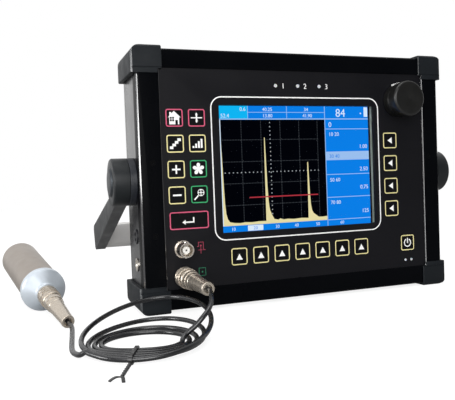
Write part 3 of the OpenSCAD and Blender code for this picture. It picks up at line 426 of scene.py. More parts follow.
def arc(x, z, r, start=0, end=360, steps=28):
    count = steps if end - start == 360 else steps + 1
    angles = [math.radians(start + (end - start) * i / steps) for i in range(count)]
    return [(x + r * math.cos(a), z + r * math.sin(a)) for a in angles]


def roundBox(x0, z0, x1, z1, r):
    corners = ((x1 - r, z1 - r, 0), (x0 + r, z1 - r, 90), (x0 + r, z0 + r, 180), (x1 - r, z0 + r, 270))
    return [p for x, z, a in corners for p in arc(x, z, r, a, a + 90, 7)]


def frameOf(x0, z0, x1, z1, r, stroke):  # a rounded outline of that stroke
    inner = roundBox(x0 + stroke, z0 + stroke, x1 - stroke, z1 - stroke, max(r - stroke, 0.2))
    return [roundBox(x0, z0, x1, z1, r), inner]


def flat(loops, faceY, thick):  # closed loops on the front, holes inside; faceY is their front
    corners = [p for loop in loops for p in loop]
    triangles = tessellate_polygon([[Vector((x, z, 0)) for x, z in loop] for loop in loops])
    build = bmesh.new()
    verts = [build.verts.new(Vector((x, faceY + thick, z)) * toMetres) for x, z in corners]
    for triangle in triangles:
        try:
            build.faces.new([verts[i] for i in triangle])
        except ValueError:  # a triangle that is there already
            continue
    raised = bmesh.ops.extrude_face_region(build, geom=list(build.faces))["geom"]
    raised = [v for v in raised if isinstance(v, bmesh.types.BMVert)]
    bmesh.ops.translate(build, verts=raised, vec=(0, -thick * toMetres, 0))
    return meshOf(build, "flat")


figureShare = 0.7  # how high a figure is for its font size


def written(text, x, z, height, faceY, align, thick):  # plain figures, as a mesh on the front
    curve = bpy.data.curves.new("figures", "FONT")
    curve.body = text
    curve.size = height / figureShare * toMetres
    curve.align_x = align
    curve.extrude = thick / 2 * toMetres
    curve.resolution_u = 3
    mesh = settled(newObject("figures", curve))
    bpy.data.curves.remove(curve)
    mesh.materials.clear()
    return moved(mesh, (x, faceY + thick / 2, z), 90)


def grown(tree, inputs, material):  # runs a Geometry Nodes tree and keeps its result as a plain mesh
    holder = newObject("grower", bpy.data.meshes.new("grower"))
    modifier = holder.modifiers.new("grown", "NODES")
    modifier.node_group = tree
    values = {**inputs, "Material": material}
    for item in tree.interface.items_tree:
        if item.in_out == "INPUT":
            modifier[item.identifier] = values[item.name]
    return settled(holder)


def newTree(name, **sockets):  # an empty tree with named inputs of the kinds given
    tree = bpy.data.node_groups.new(name, "GeometryNodeTree")
    tree.interface.new_socket(name="Geometry", in_out="OUTPUT", socket_type="NodeSocketGeometry")
    for label, kind in {**sockets, "Material": "Material"}.items():
        tree.interface.new_socket(name=label, in_out="INPUT", socket_type="NodeSocket" + kind)
    return tree, addNode(tree, "NodeGroupInput").outputs


def closeTree(tree, source, geometry):  # ends a tree in real geometry with its material
    real = addNode(tree, "GeometryNodeRealizeInstances", {"Geometry": geometry})
    paint = {"Geometry": real.outputs[0], "Material": source["Material"]}
    painted = addNode(tree, "GeometryNodeSetMaterial", paint)
    addNode(tree, "NodeGroupOutput", {"Geometry": painted.outputs[0]})
    return tree


def boxesOn(tree, source, points, size, turns=None):  # ends a tree in a box at each point
    shape = addNode(tree, "GeometryNodeMeshCube", {"Size": size})
    inputs = {"Points": points, "Instance": shape.outputs["Mesh"], **(turns or {})}
    placed = addNode(tree, "GeometryNodeInstanceOnPoints", inputs)
    return closeTree(tree, source, placed.outputs[0])


def makeDotTree():  # dots at the crossings of a grid that stands upright
    tree, source = newTree(
        "dotGrid", Columns="Int", Rows="Int", Width="Float", Height="Float", Dot="Float", Thick="Float",
    )
    grid = addNode(tree, "GeometryNodeMeshGrid", {
        "Size X": source["Width"], "Size Y": source["Height"],
        "Vertices X": source["Columns"], "Vertices Y": source["Rows"],
    })
    edges = {"X": source["Dot"], "Y": source["Dot"], "Z": source["Thick"]}
    size = addNode(tree, "ShaderNodeCombineXYZ", edges)
    return boxesOn(tree, source, grid.outputs["Mesh"], size.outputs[0])


def makeRingTree():  # teeth round an axis along Z
    tree, source = newTree("toothRing", Count="Int", Radius="Float", Tooth="Vector")
    ring = {"Vertices": source["Count"], "Radius": source["Radius"]}
    around = addNode(tree, "GeometryNodeMeshCircle", ring)
    place = addNode(tree, "GeometryNodeInputPosition")
    facing = addNode(tree, "FunctionNodeAlignEulerToVector", {"Vector": place.outputs[0]}, axis="X")
    turns = {"Rotation": facing.outputs[0]}
    return boxesOn(tree, source, around.outputs["Mesh"], source["Tooth"], turns)


def makeRowTree():  # ribs side by side along X
    tree, source = newTree("ribRow", Count="Int", Pitch="Float", Rib="Vector")
    step = addNode(tree, "ShaderNodeCombineXYZ", {"X": source["Pitch"]})
    line = addNode(tree, "GeometryNodeMeshLine", {"Count": source["Count"], "Offset": step.outputs[0]})
    return boxesOn(tree, source, line.outputs["Mesh"], source["Rib"])


def makeTwistTree():  # two wires twisted round each other along Z
    tree, source = newTree("twistedPair", Length="Float", Turns="Float", Radius="Float", Wire="Float")
    helix = addNode(tree, "GeometryNodeCurveSpiral", {
        "Resolution": 20, "Rotations": source["Turns"], "Height": source["Length"],
        "Start Radius": source["Radius"], "End Radius": source["Radius"],
    })
    rim = addNode(tree, "GeometryNodeCurvePrimitiveCircle", {"Resolution": 10, "Radius": source["Wire"]})
    tube = {"Curve": helix.outputs[0], "Profile Curve": rim.outputs[0], "Fill Caps": True}
    wire = addNode(tree, "GeometryNodeCurveToMesh", tube)
    halfTurn = {"Geometry": wire.outputs[0], "Rotation": (0, 0, math.pi)}
    other = addNode(tree, "GeometryNodeTransform", halfTurn)
    both = addNode(tree, "GeometryNodeJoinGeometry", {"Geometry": wire.outputs[0]})
    tree.links.new(other.outputs[0], both.inputs[0])
    return closeTree(tree, source, both.outputs[0])


dotTree, ringTree, rowTree, twistTree = makeDotTree(), makeRingTree(), makeRowTree(), makeTwistTree()
print("node trees built")

# Lead: one smooth tube from the unit's plug through the coil to the probe's plug. The
# route's points are the CAD's
lead = {
    "radius": 1.4, "length": 973.3,
    "drop": [
        (-89.7, -71, 23.6), (-89.7, -74, 23.6), (-90, -79, 23), (-91.2, -84, 21.5), (-93, -89, 19),
        (-96, -93, 16), (-100.4, -95.5, 12.5), (-104.5, -95.4, 8.5), (-107.5, -95.1, 6.3),
        (-110.3, -95.5, 4.3), (-112.2, -97, 2.7),
    ],
    "tail": [
        (-166, -100.5, 2.4), (-168, -93, 1.6), (-168.3, -85, 1.45), (-167.5, -75, 1.45), (-166.2, -62, 1.5),
        (-165, -50, 1.8), (-164.2, -41, 2.1), (-164.35, -35.6, 2.75),
    ],
    "tieX": -138.5, "tieY": -106.5, "turn": 22, "loops": 4, "rings": 24, "span": (-0.2, 4.1),
    "between": 5, "pitch": 3.75, "reach": 19, "halfWidth": 21.5, "growth": 19.5, "growthPower": 1.7,
    "rise": 19.5, "riseFrom": 1.8, "tieLift": 1.05, "tieLiftPower": 6,
}
probe = {
    "x": -176.2, "y": 28.1, "turn": 10.55, "rim": 15.2, "rimCut": 0.8, "plugEnd": 3.9, "coneLength": 7,
    "plugLength": 53, "mouthDepth": 3,
}
# The probe is tipped: it rests on its collar's rim and on the end of its plug
tipLength = probe["plugLength"] + probe["coneLength"] + probe["rimCut"]
tip = math.atan((probe["rim"] - probe["plugEnd"]) / tipLength)
aside = math.radians(probe["turn"])
probeWay = Vector((-math.sin(aside) * math.cos(tip), math.cos(aside) * math.cos(tip), math.sin(tip)))
probeEdge = Vector((probe["x"], probe["y"], probe["rim"] * math.cos(tip) - probe["rimCut"] * math.sin(tip)))
probeJack = probeEdge - probeWay * probe["coneLength"]
probeTail = probeJack - probeWay * probe["plugLength"]


def coilPoint(s):  # the centre line at s turns from the tie
    a = 2 * math.pi * s
    outwards = lead["pitch"] * s
    more = lead["growth"] * (max(s, 0) / lead["loops"]) ** lead["growthPower"]
    far = 1 - math.cos(a)
    up = lead["rise"] * (max(s - lead["riseFrom"], 0) / (lead["loops"] - lead["riseFrom"])) ** 2
    turnAngle = math.radians(lead["turn"])
    n = Vector((math.sin(turnAngle), math.cos(turnAngle)))
    t = Vector((-n.y, n.x))
    flatPlace = (
        Vector((lead["tieX"], lead["tieY"]))
        + n * (lead["reach"] * far + more * far * far / 2 - outwards * math.cos(a))
        + t * ((lead["halfWidth"] + outwards) * math.sin(a))
    )
    lift = lead["tieLift"] * ((1 + math.cos(a)) / 2) ** lead["tieLiftPower"]
    return Vector((flatPlace.x, flatPlace.y, lead["radius"] + up * far / 2 + lift))


def smoothLine(points, parts):  # a Catmull-Rom line through the points
    line = []
    for i in range(len(points) - 1):
        p0, p1, p2 = points[max(i - 1, 0)], points[i], points[i + 1]
        p3 = points[min(i + 2, len(points) - 1)]
        bend = 2 * p0 - 5 * p1 + 4 * p2 - p3
        twist = 3 * p1 - 3 * p2 + p3 - p0
        for t in (k / parts for k in range(parts)):
            line.append(0.5 * (2 * p1 + (p2 - p0) * t + bend * t * t + twist * t ** 3))
    return line + [points[-1]]


def coilWay(s):  # the way that the coil runs at s turns
    nudge = 1 / lead["rings"] / 8
    return (coilPoint(s + nudge) - coilPoint(s - nudge)).normalized()


first, last = lead["span"]
coilCount = round((last - first) * lead["rings"])
coilLine = [coilPoint(first + (last - first) * i / coilCount) for i in range(coilCount + 1)]
lap = 2 * lead["radius"]
route = [Vector(p) for p in lead["drop"]]
route += [coilLine[0] - coilWay(first) * lap] + coilLine + [coilLine[-1] + coilWay(last) * lap]
route += [Vector(p) for p in lead["tail"]] + [probeTail, probeTail + probeWay * probe["mouthDepth"]]
smoothRoute = smoothLine(route, lead["between"])
leadPath = [Vector((p.x, p.y, max(p.z, lead["radius"]))) * toMetres for p in smoothRoute]
tube = swept(leadPath, lead["radius"] * toMetres)
leadNodes = ["lead_drop", "lead_coil", "lead_tail"]
sheath = addPiece("leadSheath", [(tube, leadSheath)], "unit", leadNodes)
print("lead laid")

# Plugs: turned bodies with their turning sleeves, one on the unit and one on the probe
plug = {
    "core": [
        (2.45, 6.75), (3.95, 6.75), (3.95, 10.95), (5.4, 10.95), (5.4, 14.25), (4.4, 14.25), (4.4, 16.15),
        (5.4, 16.15), (5.4, 17.15), (5.8, 17.15), (5.8, 22.15), (5.4, 22.15), (5.15, 26.5), (4.95, 26.7),
        (3.95, 50), (4.12, 50.6), (4.12, 51.5), (3.88, 53), (2.4, 53), (2.4, 50), (0, 50), (0, 10.8),
        (2.45, 10.8),
    ],
    "sleeve": [(4.55, 16), (4.55, 14.4), (5.6, 14.4), (5.6, 2.5)],
    "rib": [(6.8, 2.5), (6.8, 3.9), (6.2, 3.9), (6.2, 4.9)],
    "ribs": 4, "ribPitch": 2.4,
    "sleeveEnd": [(6.2, 15.4), (5.7, 16)],
    "edge": 0.22, "teeth": 34, "tooth": (0.55, 0.55, 3.6), "teethAt": 13.2, "teethRadius": 6.2,
}
ribLine = [(r, along + plug["ribPitch"] * i) for i in range(plug["ribs"]) for r, along in plug["rib"]]
sleeveLine = plug["sleeve"] + ribLine[:-1] + plug["sleeveEnd"]


def plugOn(origin, way, name, end):
    origin = Vector(origin)
    way = Vector(way)
    shape = turned(rounded(plug["core"], plug["edge"]), origin, way)
    core = addPiece(name + "Body", [(shape, turnedNickel)], "unit", [end + "_plug"])
    shape = turned(rounded(sleeveLine, plug["edge"], True), origin, way, True)
    teeth = grown(ringTree, {
        "Count": plug["teeth"], "Radius": plug["teethRadius"] * toMetres,
        "Tooth": [s * toMetres for s in plug["tooth"]],
    }, turnedNickel)
    turnTo = Vector((0, 0, 1)).rotation_difference(way).to_matrix().to_4x4()
    teeth.transform(Matrix.Translation((origin + way * plug["teethAt"]) * toMetres) @ turnTo)
    parts = [(shape, turnedNickel), (teeth, turnedNickel)]
    return [core, addPiece(name + "Sleeve", parts, end + "_sleeve", [end + "_plug_sleeve"])]


unitJack = (-89.7, -21, 23.6)
plugPieces = plugOn(unitJack, (0, -1, 0), "plug", "lead") + plugOn(probeJack, -probeWay, "probePlug", "probe")
print("plugs turned")

# Tie: a ribbon round the strands, its twisted wires and two flat ends
tie = {
    "ribbonWidth": 1.8, "wire": 0.9, "slack": 0.3, "twistLength": 18, "twists": 3, "wireRadius": 0.55,
    "apartShare": 0.8, "sunkShare": 0.6, "heightShare": 2.2, "endLength": 7, "endWidth": 1.6,
    "endThick": 0.5, "endLift": 0.9, "endSteps": 8, "neckShare": 0.55, "neckLengthShare": 1 / 3,
    "endTurns": (17, -41),
}
bandLength = lead["loops"] * lead["pitch"] + 2 * lead["radius"] + 2 * tie["slack"]
bandHeight = 2 * lead["radius"] + tie["slack"]
front = -lead["loops"] * lead["pitch"] / 2 - bandLength / 2 - tie["wire"]


def band():  # the ribbon as a closed loop, square to X
    wire = tie["wire"]
    outer = roundBox(front, 0, front + bandLength + 2 * wire, bandHeight + 2 * wire, lead["radius"] + wire)
    inner = roundBox(front + wire, wire, front + wire + bandLength, wire + bandHeight, lead["radius"])
    mesh = flat([outer, inner], 0, tie["ribbonWidth"])
    return moved(mesh, (tie["ribbonWidth"] / 2, 0, 0), 90, "Z")


def tieEnd(angle):  # a flat end with a slight curl, narrow where it leaves the twist
    rings = []
    for share in (i / tie["endSteps"] for i in range(tie["endSteps"] + 1)):
        widening = min(1, share / tie["neckLengthShare"])
        width = tie["endWidth"] * (tie["neckShare"] + (1 - tie["neckShare"]) * widening) / 2
        lift = tie["wireRadius"] + tie["endLift"] * math.sin(share * math.pi)
        points = [(x * width, z * tie["endThick"] / 2 + lift) for x, z in box(-1, -1, 1, 1)]
        rings.append([Vector((x, -tie["endLength"] * share, z)) * toMetres for x, z in points])
    end = (0, front + tie["wire"] - tie["twistLength"], 0)
    return moved(skinned("tieEnd", rings, capped=True), end, angle, "Z")


wires = grown(twistTree, {
    "Length": (tie["twistLength"] - tie["wire"]) * toMetres, "Turns": float(tie["twists"]),
    "Radius": tie["wireRadius"] * tie["apartShare"] * toMetres, "Wire": tie["wireRadius"] * toMetres,
}, tiePlastic)
wiresAt = (0, front + tie["wire"] * tie["sunkShare"], tie["heightShare"] * tie["wireRadius"])
tieMeshes = [band(), moved(wires, wiresAt, 90)] + [tieEnd(angle) for angle in tie["endTurns"]]
tieAt = (lead["tieX"], lead["tieY"], 0)
tieParts = [(moved(mesh, tieAt, -lead["turn"], "Z"), tiePlastic) for mesh in tieMeshes]
twistedTie = addPiece("twistedTie", tieParts, "unit", ["twist_tie"])

print("lead tied")

# Probe: body and collar turned from one bar, with the wear face let in
probeShape = {
    "cone": [
        (0, -7), (6.4, -7), (6.9, -6.7), (7.1, -5.6), (13.7, -0.5), (15.1, 0.9), (15.1, 4.6), (14.6, 5),
        (13.3, 5), (13.2, 5.5),
    ],
    "body": [(13.2, 5.5), (13.3, 6), (13.6, 6), (13.8, 6.3), (13.8, 77), (13.1, 78), (0, 78)],
    "face": [(0, 78), (11.9, 78), (12, 78.1), (12, 79.6), (11.6, 80), (0, 80)],
    "round": {"cone": 0.6, "body": 0.3, "face": 0.2},
    "steps": 96,
}


def probePart(name, material):
    profile = rounded(probeShape[name], probeShape["round"][name])
    return turned(profile, probeEdge, probeWay, steps=probeShape["steps"]), material


barrel = [probePart("cone", probeCone), probePart("body", probeBody)]
addPiece("probeBarrel", barrel, "unit", ["probe_body"])
addPiece("probeWearFace", [probePart("face", wearFace)], "unit", ["probe_face"])
print("probe turned")

# Knob: a turned grip on a narrower skirt, with a white index line
knob = {
    "centre": (80.7, -21.5, 140.6),
    "grip": [
        (8.5, 0), (11.9, 0), (12.1, 0.4), (12.1, 5.6), (11.6, 6.0), (11.6, 6.4), (12.9, 6.9), (12.9, 14.0),
        (12.3, 15.1), (11.2, 15.5), (6, 15.4), (0, 15.35), (0, 5), (8.5, 5),
    ],
    "shaft": [(0, -5.75), (3, -5.75), (3, 7), (0, 7)],
    "round": 0.6, "steps": 96, "lineAngle": 113, "lineWide": 1.5, "lineSpan": (1.0, 9.8),
    "lineRadii": (11.8, 12.98),
}


def indexLine():  # a white strip that is let into the grip and stands up from the skirt
    x, y, z = knob["centre"]
    near, far = knob["lineSpan"]
    inner, outer = knob["lineRadii"]
    half = math.degrees(knob["lineWide"] / outer / 2)
    start, end = knob["lineAngle"] - half, knob["lineAngle"] + half
    strip = arc(x, z, outer, start, end, 2) + arc(x, z, inner, end, start, 2)
    return flat([strip], y - far, far - near)


gripProfile = rounded(knob["grip"], knob["round"], True)
addPiece("rotaryKnob", [
    (turned(gripProfile, knob["centre"], (0, -1, 0), True, knob["steps"]), knobPlastic),
    (turned(knob["shaft"], knob["centre"], (0, -1, 0)), steelZinc),
    (indexLine(), inks["White"]),
], "knob", ["rotary_knob"])
print("knob turned")

# Keys: each cap with its printed outline and sign
keys = {
    "faceY": -21.3, "corner": 1.6, "stroke": 0.72, "lip": 0.5, "inset": 0.1, "edge": 0.1, "ink": 0.04,
    "inkStep": 0.004,
}
house = [
    [(-4.4, 0.3), (-3.2, 1.45), (-3.2, 3.7), (-1.9, 3.7), (-1.9, 2.8), (-0.1, 4.5), (4.4, 0.3), (3.3, 0.3),
     (3.3, -4.3), (2.35, -4.3), (2.35, -1.4), (0.7, -1.4), (0.7, -4.3), (-3.4, -4.3), (-3.4, 0.3)],
    box(-3.0, -0.65, -1.7, 0.6), box(-1.4, -0.65, -0.1, 0.6),
    box(-3.0, -2.25, -1.7, -0.95), box(-1.4, -2.25, -0.1, -0.95),
]
crossLines = [
    (-3.9, -0.35), (-0.45, -0.35), (-0.7, -2.4), (0, -3.5), (0.7, -2.4), (0.45, -0.35), (3.9, -0.35),
    (3.9, 0.35), (0.45, 0.35), (0.7, 2.4), (0, 3.5), (-0.7, 2.4), (-0.45, 0.35), (-3.9, 0.35),
]
stairs = [box(-3.7 + 1.75 * i, -3.5 + 1.72 * i, -1.35 + 1.75 * i, -1.7 + 1.72 * i) for i in range(4)]
gainBars = [box(-3.5 + 1.9 * i, -3, -2.2 + 1.9 * i, -1.7 + 1.55 * i) for i in range(4)]
plusSign = [
    (-2.9, -0.55), (-0.55, -0.55), (-0.55, -2.9), (0.55, -2.9), (0.55, -0.55), (2.9, -0.55), (2.9, 0.55),
    (0.55, 0.55), (0.55, 2.9), (-0.55, 2.9), (-0.55, 0.55), (-2.9, 0.55),
]
petals = {"heart": 0.95, "reach": 3.1, "power": 0.6, "steps": 120}
lens = {"at": (1.1, 1.1), "rim": 2.35, "pane": 1.85, "gap": 0.28, "apartShare": 1.41, "trimShare": 1.2}
enterArrow = [
    (-4.9, -1.2), (-2.7, 0.4), (-2.7, -0.75), (2.5, -0.75), (2.5, 2.0), (3.4, 2.0), (3.4, -1.65),
    (-2.7, -1.65), (-2.7, -2.8),
]
leftArrow = [(-2.0, 0), (1.7, -2.4), (1.7, 2.4)]
upArrow = [(-2.35, -2.3), (2.35, -2.3), (0, 1.9)]


def flowerPoint(a):  # five petals
    r = petals["heart"] + petals["reach"] * abs(math.cos(2.5 * (a - math.pi / 2))) ** petals["power"]
    return (r * math.cos(a), r * math.sin(a))


def quarter(start):  # a quarter of the lens's pane, a little off its middle
    middle = math.radians(start + 45)
    apart = lens["gap"] * lens["apartShare"]
    x = lens["at"][0] + math.cos(middle) * apart
    z = lens["at"][1] + math.sin(middle) * apart
    return [(x, z)] + arc(x, z, lens["pane"] - lens["gap"] * lens["trimShare"], start, start + 90, 8)


flower = [flowerPoint(2 * math.pi * i / petals["steps"]) for i in range(petals["steps"])]
lensLoops = [arc(*lens["at"], lens["rim"])] + [quarter(start) for start in (0, 90, 180, 270)]
lensHandle = [(-3.9, -3.2), (-3.2, -3.9), (-0.45, -1.1), (-1.05, -0.45)]
powerRing = arc(0, -0.1, 3.2, 115, 425, 40) + arc(0, -0.1, 2.4, 425, 115, 40)
signs = {  # the outline's ink, and the sign as areas with their holes
    "key_home": ("Red", [house]),
    "key_cursor": ("Red", [[crossLines]]),
    "key_steps": ("Cream", [[step] for step in stairs]),
    "key_gain": ("Cream", [[bar] for bar in gainBars]),
    "key_plus": ("Cream", [[plusSign]]),
    "key_freeze": ("Green", [[flower]]),
    "key_minus": ("Cream", [[box(-2.9, -0.55, 2.9, 0.55)]]),
    "key_zoom": ("Green", [lensLoops, [lensHandle]]),
    "key_enter": ("Red", [[enterArrow]]),
    "key_power": ("Cream", [[powerRing], [box(-0.42, -0.4, 0.42, 3.5)]]),
}
signs.update({f"key_menu_{i + 1}": ("Cream", [[leftArrow]]) for i in range(4)})
signs.update({f"key_soft_{i + 1}": ("Cream", [[upArrow]]) for i in range(7)})
for name, (colour, areas) in signs.items():
    low, high = [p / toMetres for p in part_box(name)]
    midX, midZ = (low.x + high.x) / 2, (low.z + high.z) / 2
    margin = keys["lip"] + keys["inset"]
    edges = (low.x + margin, low.z + margin, high.x - margin, high.z - margin)
    faceY = keys["faceY"] - keys["ink"] / 2
    outline = frameOf(*edges, keys["corner"], keys["stroke"])
    parts = [(softened(name, keys["edge"]), keySilicone), (flat(outline, faceY, keys["ink"]), inks[colour])]
    for i, loops in enumerate(areas):
        shifted = [[(midX + x, midZ + z) for x, z in loop] for loop in loops]
        parts.append((flat(shifted, faceY - keys["inkStep"] * i, keys["ink"]), inks["White"]))
    addPiece(camelOf(name), parts, name, [name], sharp=20)
print("keys printed")

# Panel print: the line round the screen, figures beside the lights and two signs at the jacks
printing = {
    "faceY": -21.03, "ink": 0.04, "inkStep": 0.003, "line": (-66.8, 45.2, 64.0, 142.6, 8, 0.8),
    "figures": [("1", -12.7), ("2", 4.3), ("3", 21.3)],
    "figuresZ": 148.5, "figuresHigh": 3.6, "receive": (-79.1, 22.9, -74.1, 28.4, 0.3, 0.4),
    "receiveDot": (-76.6, 25.6, 0.6),
}
sendSign = [  # a pulse over a plug's pin
    box(-79.6, 42.5, -78.5, 42.9), box(-78.9, 42.5, -78.5, 45.7), box(-78.9, 45.3, -75.1, 45.7),
    box(-75.5, 40.1, -75.1, 45.7), box(-75.5, 40.1, -73.9, 40.5), arc(-77.1, 43.1, 0.65),
    box(-77.3, 37.9, -76.9, 42.9), box(-78.9, 40.1, -76, 40.5),
]


def printed(loops, colour, above=0):
    return flat(loops, printing["faceY"] - printing["inkStep"] * above, printing["ink"]), inks[colour]


parts = [printed(frameOf(*printing["line"]), "White")]
for text, x in printing["figures"]:
    place = (x, printing["figuresZ"], printing["figuresHigh"], printing["faceY"])
    parts.append((written(text, *place, "CENTER", printing["ink"]), inks["White"]))
parts += [printed([loop], "DarkRed", i) for i, loop in enumerate(sendSign)]
parts.append(printed(frameOf(*printing["receive"]), "DarkGreen"))
parts.append(printed([arc(*printing["receiveDot"])], "DarkGreen"))
addPiece("panelPrint", parts, "unit")
print("panel printed")

# Screen picture: lit areas in thin layers behind the clear pane. Only plain figures show
screen = {
    "faceY": -17.36, "layer": 0.02, "thick": 0.018, "edges": (-59.5, 49.9, 57.3, 136.7),
    "plot": (-58.9, 54.6, 20.9, 127.2), "lines": [127.7, 120.4, 87.4, 70.8, 54.5], "lineWide": 0.5,
    "topLine": (127.3, 128.0), "readingLine": (132.1, 132.5), "chosen": (97.8, 104),
    "cells": [-38.6, -9.0], "cellLineWide": 0.4, "chosenTab": (-41.4, 50.5, -29.9, 54.2),
    "gate": (-39.4, 73.1, 13.9, 73.9), "battery": (53.9, 129.2, 56.9, 136.2),
    "beacon": (50.6, 131.2, 51.6, 132.2), "grid": (-58.6, 53.5, 14.8, 128.3), "columns": 5, "rows": 5,
    "columnDots": 62, "rowDots": 64, "centre": (-22.4, 90.9), "centreDots": (25, 24), "dot": 0.5,
    "bigDot": 0.62, "columnEnds": (2, 1), "rowStart": 1, "centreEnds": (4, 2), "centreStart": 2,
    "rim": (58.9, 50.6, 60.5, 136.7), "rimY": -17.5, "rimThick": 0.15,
}
echo = [
    (-58.9, 54.6), (-58.9, 112), (-58.5, 100), (-58.2, 90), (-57.9, 80), (-57.5, 70), (-56.9, 63),
    (-55.9, 59.4), (-54.4, 57.2), (-51, 56.5), (-47, 56.2), (-43, 56.6), (-38, 56.3), (-33, 56.7),
    (-27.4, 56.6), (-27.3, 62), (-27.2, 98), (-27.0, 114.8), (-26.5, 114.8), (-26.1, 98), (-25.6, 80),
    (-25.1, 70), (-24.4, 64.3), (-23.0, 61), (-21.2, 57.6), (-18, 57.0), (-16.6, 57.8), (-14, 56.9),
    (-11, 57.2), (-6, 56.8), (0, 57.2), (5.6, 56.9), (5.7, 62), (5.9, 96), (6.1, 97), (6.6, 97), (6.9, 88),
    (7.3, 76), (7.8, 67), (8.6, 62.5), (9.8, 60.2), (12, 58.7), (13.8, 57.3), (17, 57.2), (20.8, 57.5),
    (20.8, 54.6),
]
readings = [  # text, x, z, height and alignment
    ("0.6", -40, 133.2, 2.6, "RIGHT"), ("52.4", -58.6, 128.7, 2.6, "LEFT"), ("34", 8, 133.2, 2.4, "RIGHT"),
    ("40.25", -20, 133.2, 2.4, "RIGHT"), ("13.80", -20, 128.8, 2.4, "RIGHT"),
    ("41.90", 11, 128.8, 2.4, "RIGHT"),
    ("84", 30, 129.2, 5.8, "LEFT"), ("0", 24, 121.8, 3.6, "LEFT"), ("1.00", 56, 106.2, 2.8, "RIGHT"),
    ("2.50", 56, 89.6, 2.8, "RIGHT"), ("0.75", 56, 76.2, 2.8, "RIGHT"), ("125", 56, 58.6, 2.8, "RIGHT"),
    ("10 20", 24, 115.4, 2.6, "LEFT"), ("50 60", 24, 82.2, 2.6, "LEFT"), ("70 80", 24, 65.8, 2.6, "LEFT"),
    ("10", -52, 51.2, 2.2, "CENTER"), ("30", -19, 51.2, 2.2, "CENTER"), ("40", -4, 51.2, 2.2, "CENTER"),
    ("50", 13, 51.2, 2.2, "CENTER"), ("60", 33, 51.2, 2.2, "CENTER"),
]
chosenReadings = [("30 40", 24, 99.4, 2.6, "LEFT"), ("20", -35.6, 51.2, 2.2, "CENTER")]


def layerY(level):
    return screen["faceY"] - screen["layer"] * level


def onScreen(loop, level, colour):
    return flat([loop], layerY(level), screen["thick"]), lights[colour]


def figures(rows, colour, level=3):
    return [(written(*row[:4], layerY(level), row[4], screen["thick"]), lights[colour]) for row in rows]


def dots(columns, rows, x0, z0, x1, z1, size, colour, level=2):
    mesh = grown(dotTree, {
        "Columns": columns, "Rows": rows, "Width": (x1 - x0) * toMetres, "Height": (z1 - z0) * toMetres,
        "Dot": size * toMetres, "Thick": screen["layer"] * toMetres,
    }, lights[colour])
    return moved(mesh, ((x0 + x1) / 2, layerY(level), (z0 + z1) / 2), 90), lights[colour]


left, low, right, high = screen["edges"]
px0, pz0, px1, pz1 = screen["plot"]
topLine, *softLines = screen["lines"]
half = screen["lineWide"] / 2
areas = [  # edges, layer and colour
    ((left, low, right, high), 0, "Blue"),
    ((px0, pz0, px1, pz1), 1, "Black"),
    ((left, topLine, screen["cells"][0], high), 1, "Cyan"),
    ((left, pz0, px0, pz1), 1, "White"),
    ((left, screen["topLine"][0], right, screen["topLine"][1]), 2, "Pale"),
    ((px1, low, px1 + screen["lineWide"], high), 2, "Pale"),
    ((screen["cells"][0], screen["readingLine"][0], px1, screen["readingLine"][1]), 2, "Pale"),
    ((px1, screen["chosen"][0], right, screen["chosen"][1]), 2, "Pale"),
    (screen["chosenTab"], 2, "White"),
    (screen["gate"], 4, "Red"),
    (screen["battery"], 2, "White"),
    (screen["beacon"], 2, "White"),
]
cellHalf = screen["cellLineWide"] / 2
areas += [((x - cellHalf, topLine, x + cellHalf, high), 2, "Pale") for x in screen["cells"]]
areas += [((px1, z - half, right, z + half), 2, "Pale") for z in softLines]
picture = [onScreen(box(*edges), level, colour) for edges, level, colour in areas]
picture.append(onScreen(echo, 3, "Cream"))
gx0, gz0, gx1, gz1 = screen["grid"]
stepX, stepZ = (gx1 - gx0) / screen["columns"], (gz1 - gz0) / screen["rows"]
cx, cz = screen["centre"]
across, upright = screen["centreDots"]
thin = 0.001  # a row of dots has hardly any width
columns, rows = screen["columns"], screen["rows"] - 1
rowX, centreX = gx0 + screen["rowStart"], gx0 + screen["centreStart"]
columnLow, columnHigh = pz0 + screen["columnEnds"][0], pz1 - screen["columnEnds"][1]
centreLow, centreHigh = pz0 + screen["centreEnds"][0], pz1 - screen["centreEnds"][1]
picture += [
    dots(columns, screen["columnDots"], gx0 + stepX, columnLow, gx1, columnHigh, screen["dot"], "Grey"),
    dots(screen["rowDots"], rows, rowX, gz0 + stepZ, gx1, gz1 - stepZ, screen["dot"], "Grey"),
    dots(1, upright, cx, centreLow, cx + thin, centreHigh, screen["bigDot"], "Dot"),
    dots(across, 1, centreX, cz, gx1, cz + thin, screen["bigDot"], "Dot"),
]
picture += figures(readings, "White") + figures(chosenReadings, "Blue")
addPiece("screenPicture", picture, "unit")
rim = flat([box(*screen["rim"])], screen["rimY"], screen["rimThick"])
addPiece("displayRim", [(rim, displayRim)], "unit")
print("screen lit")

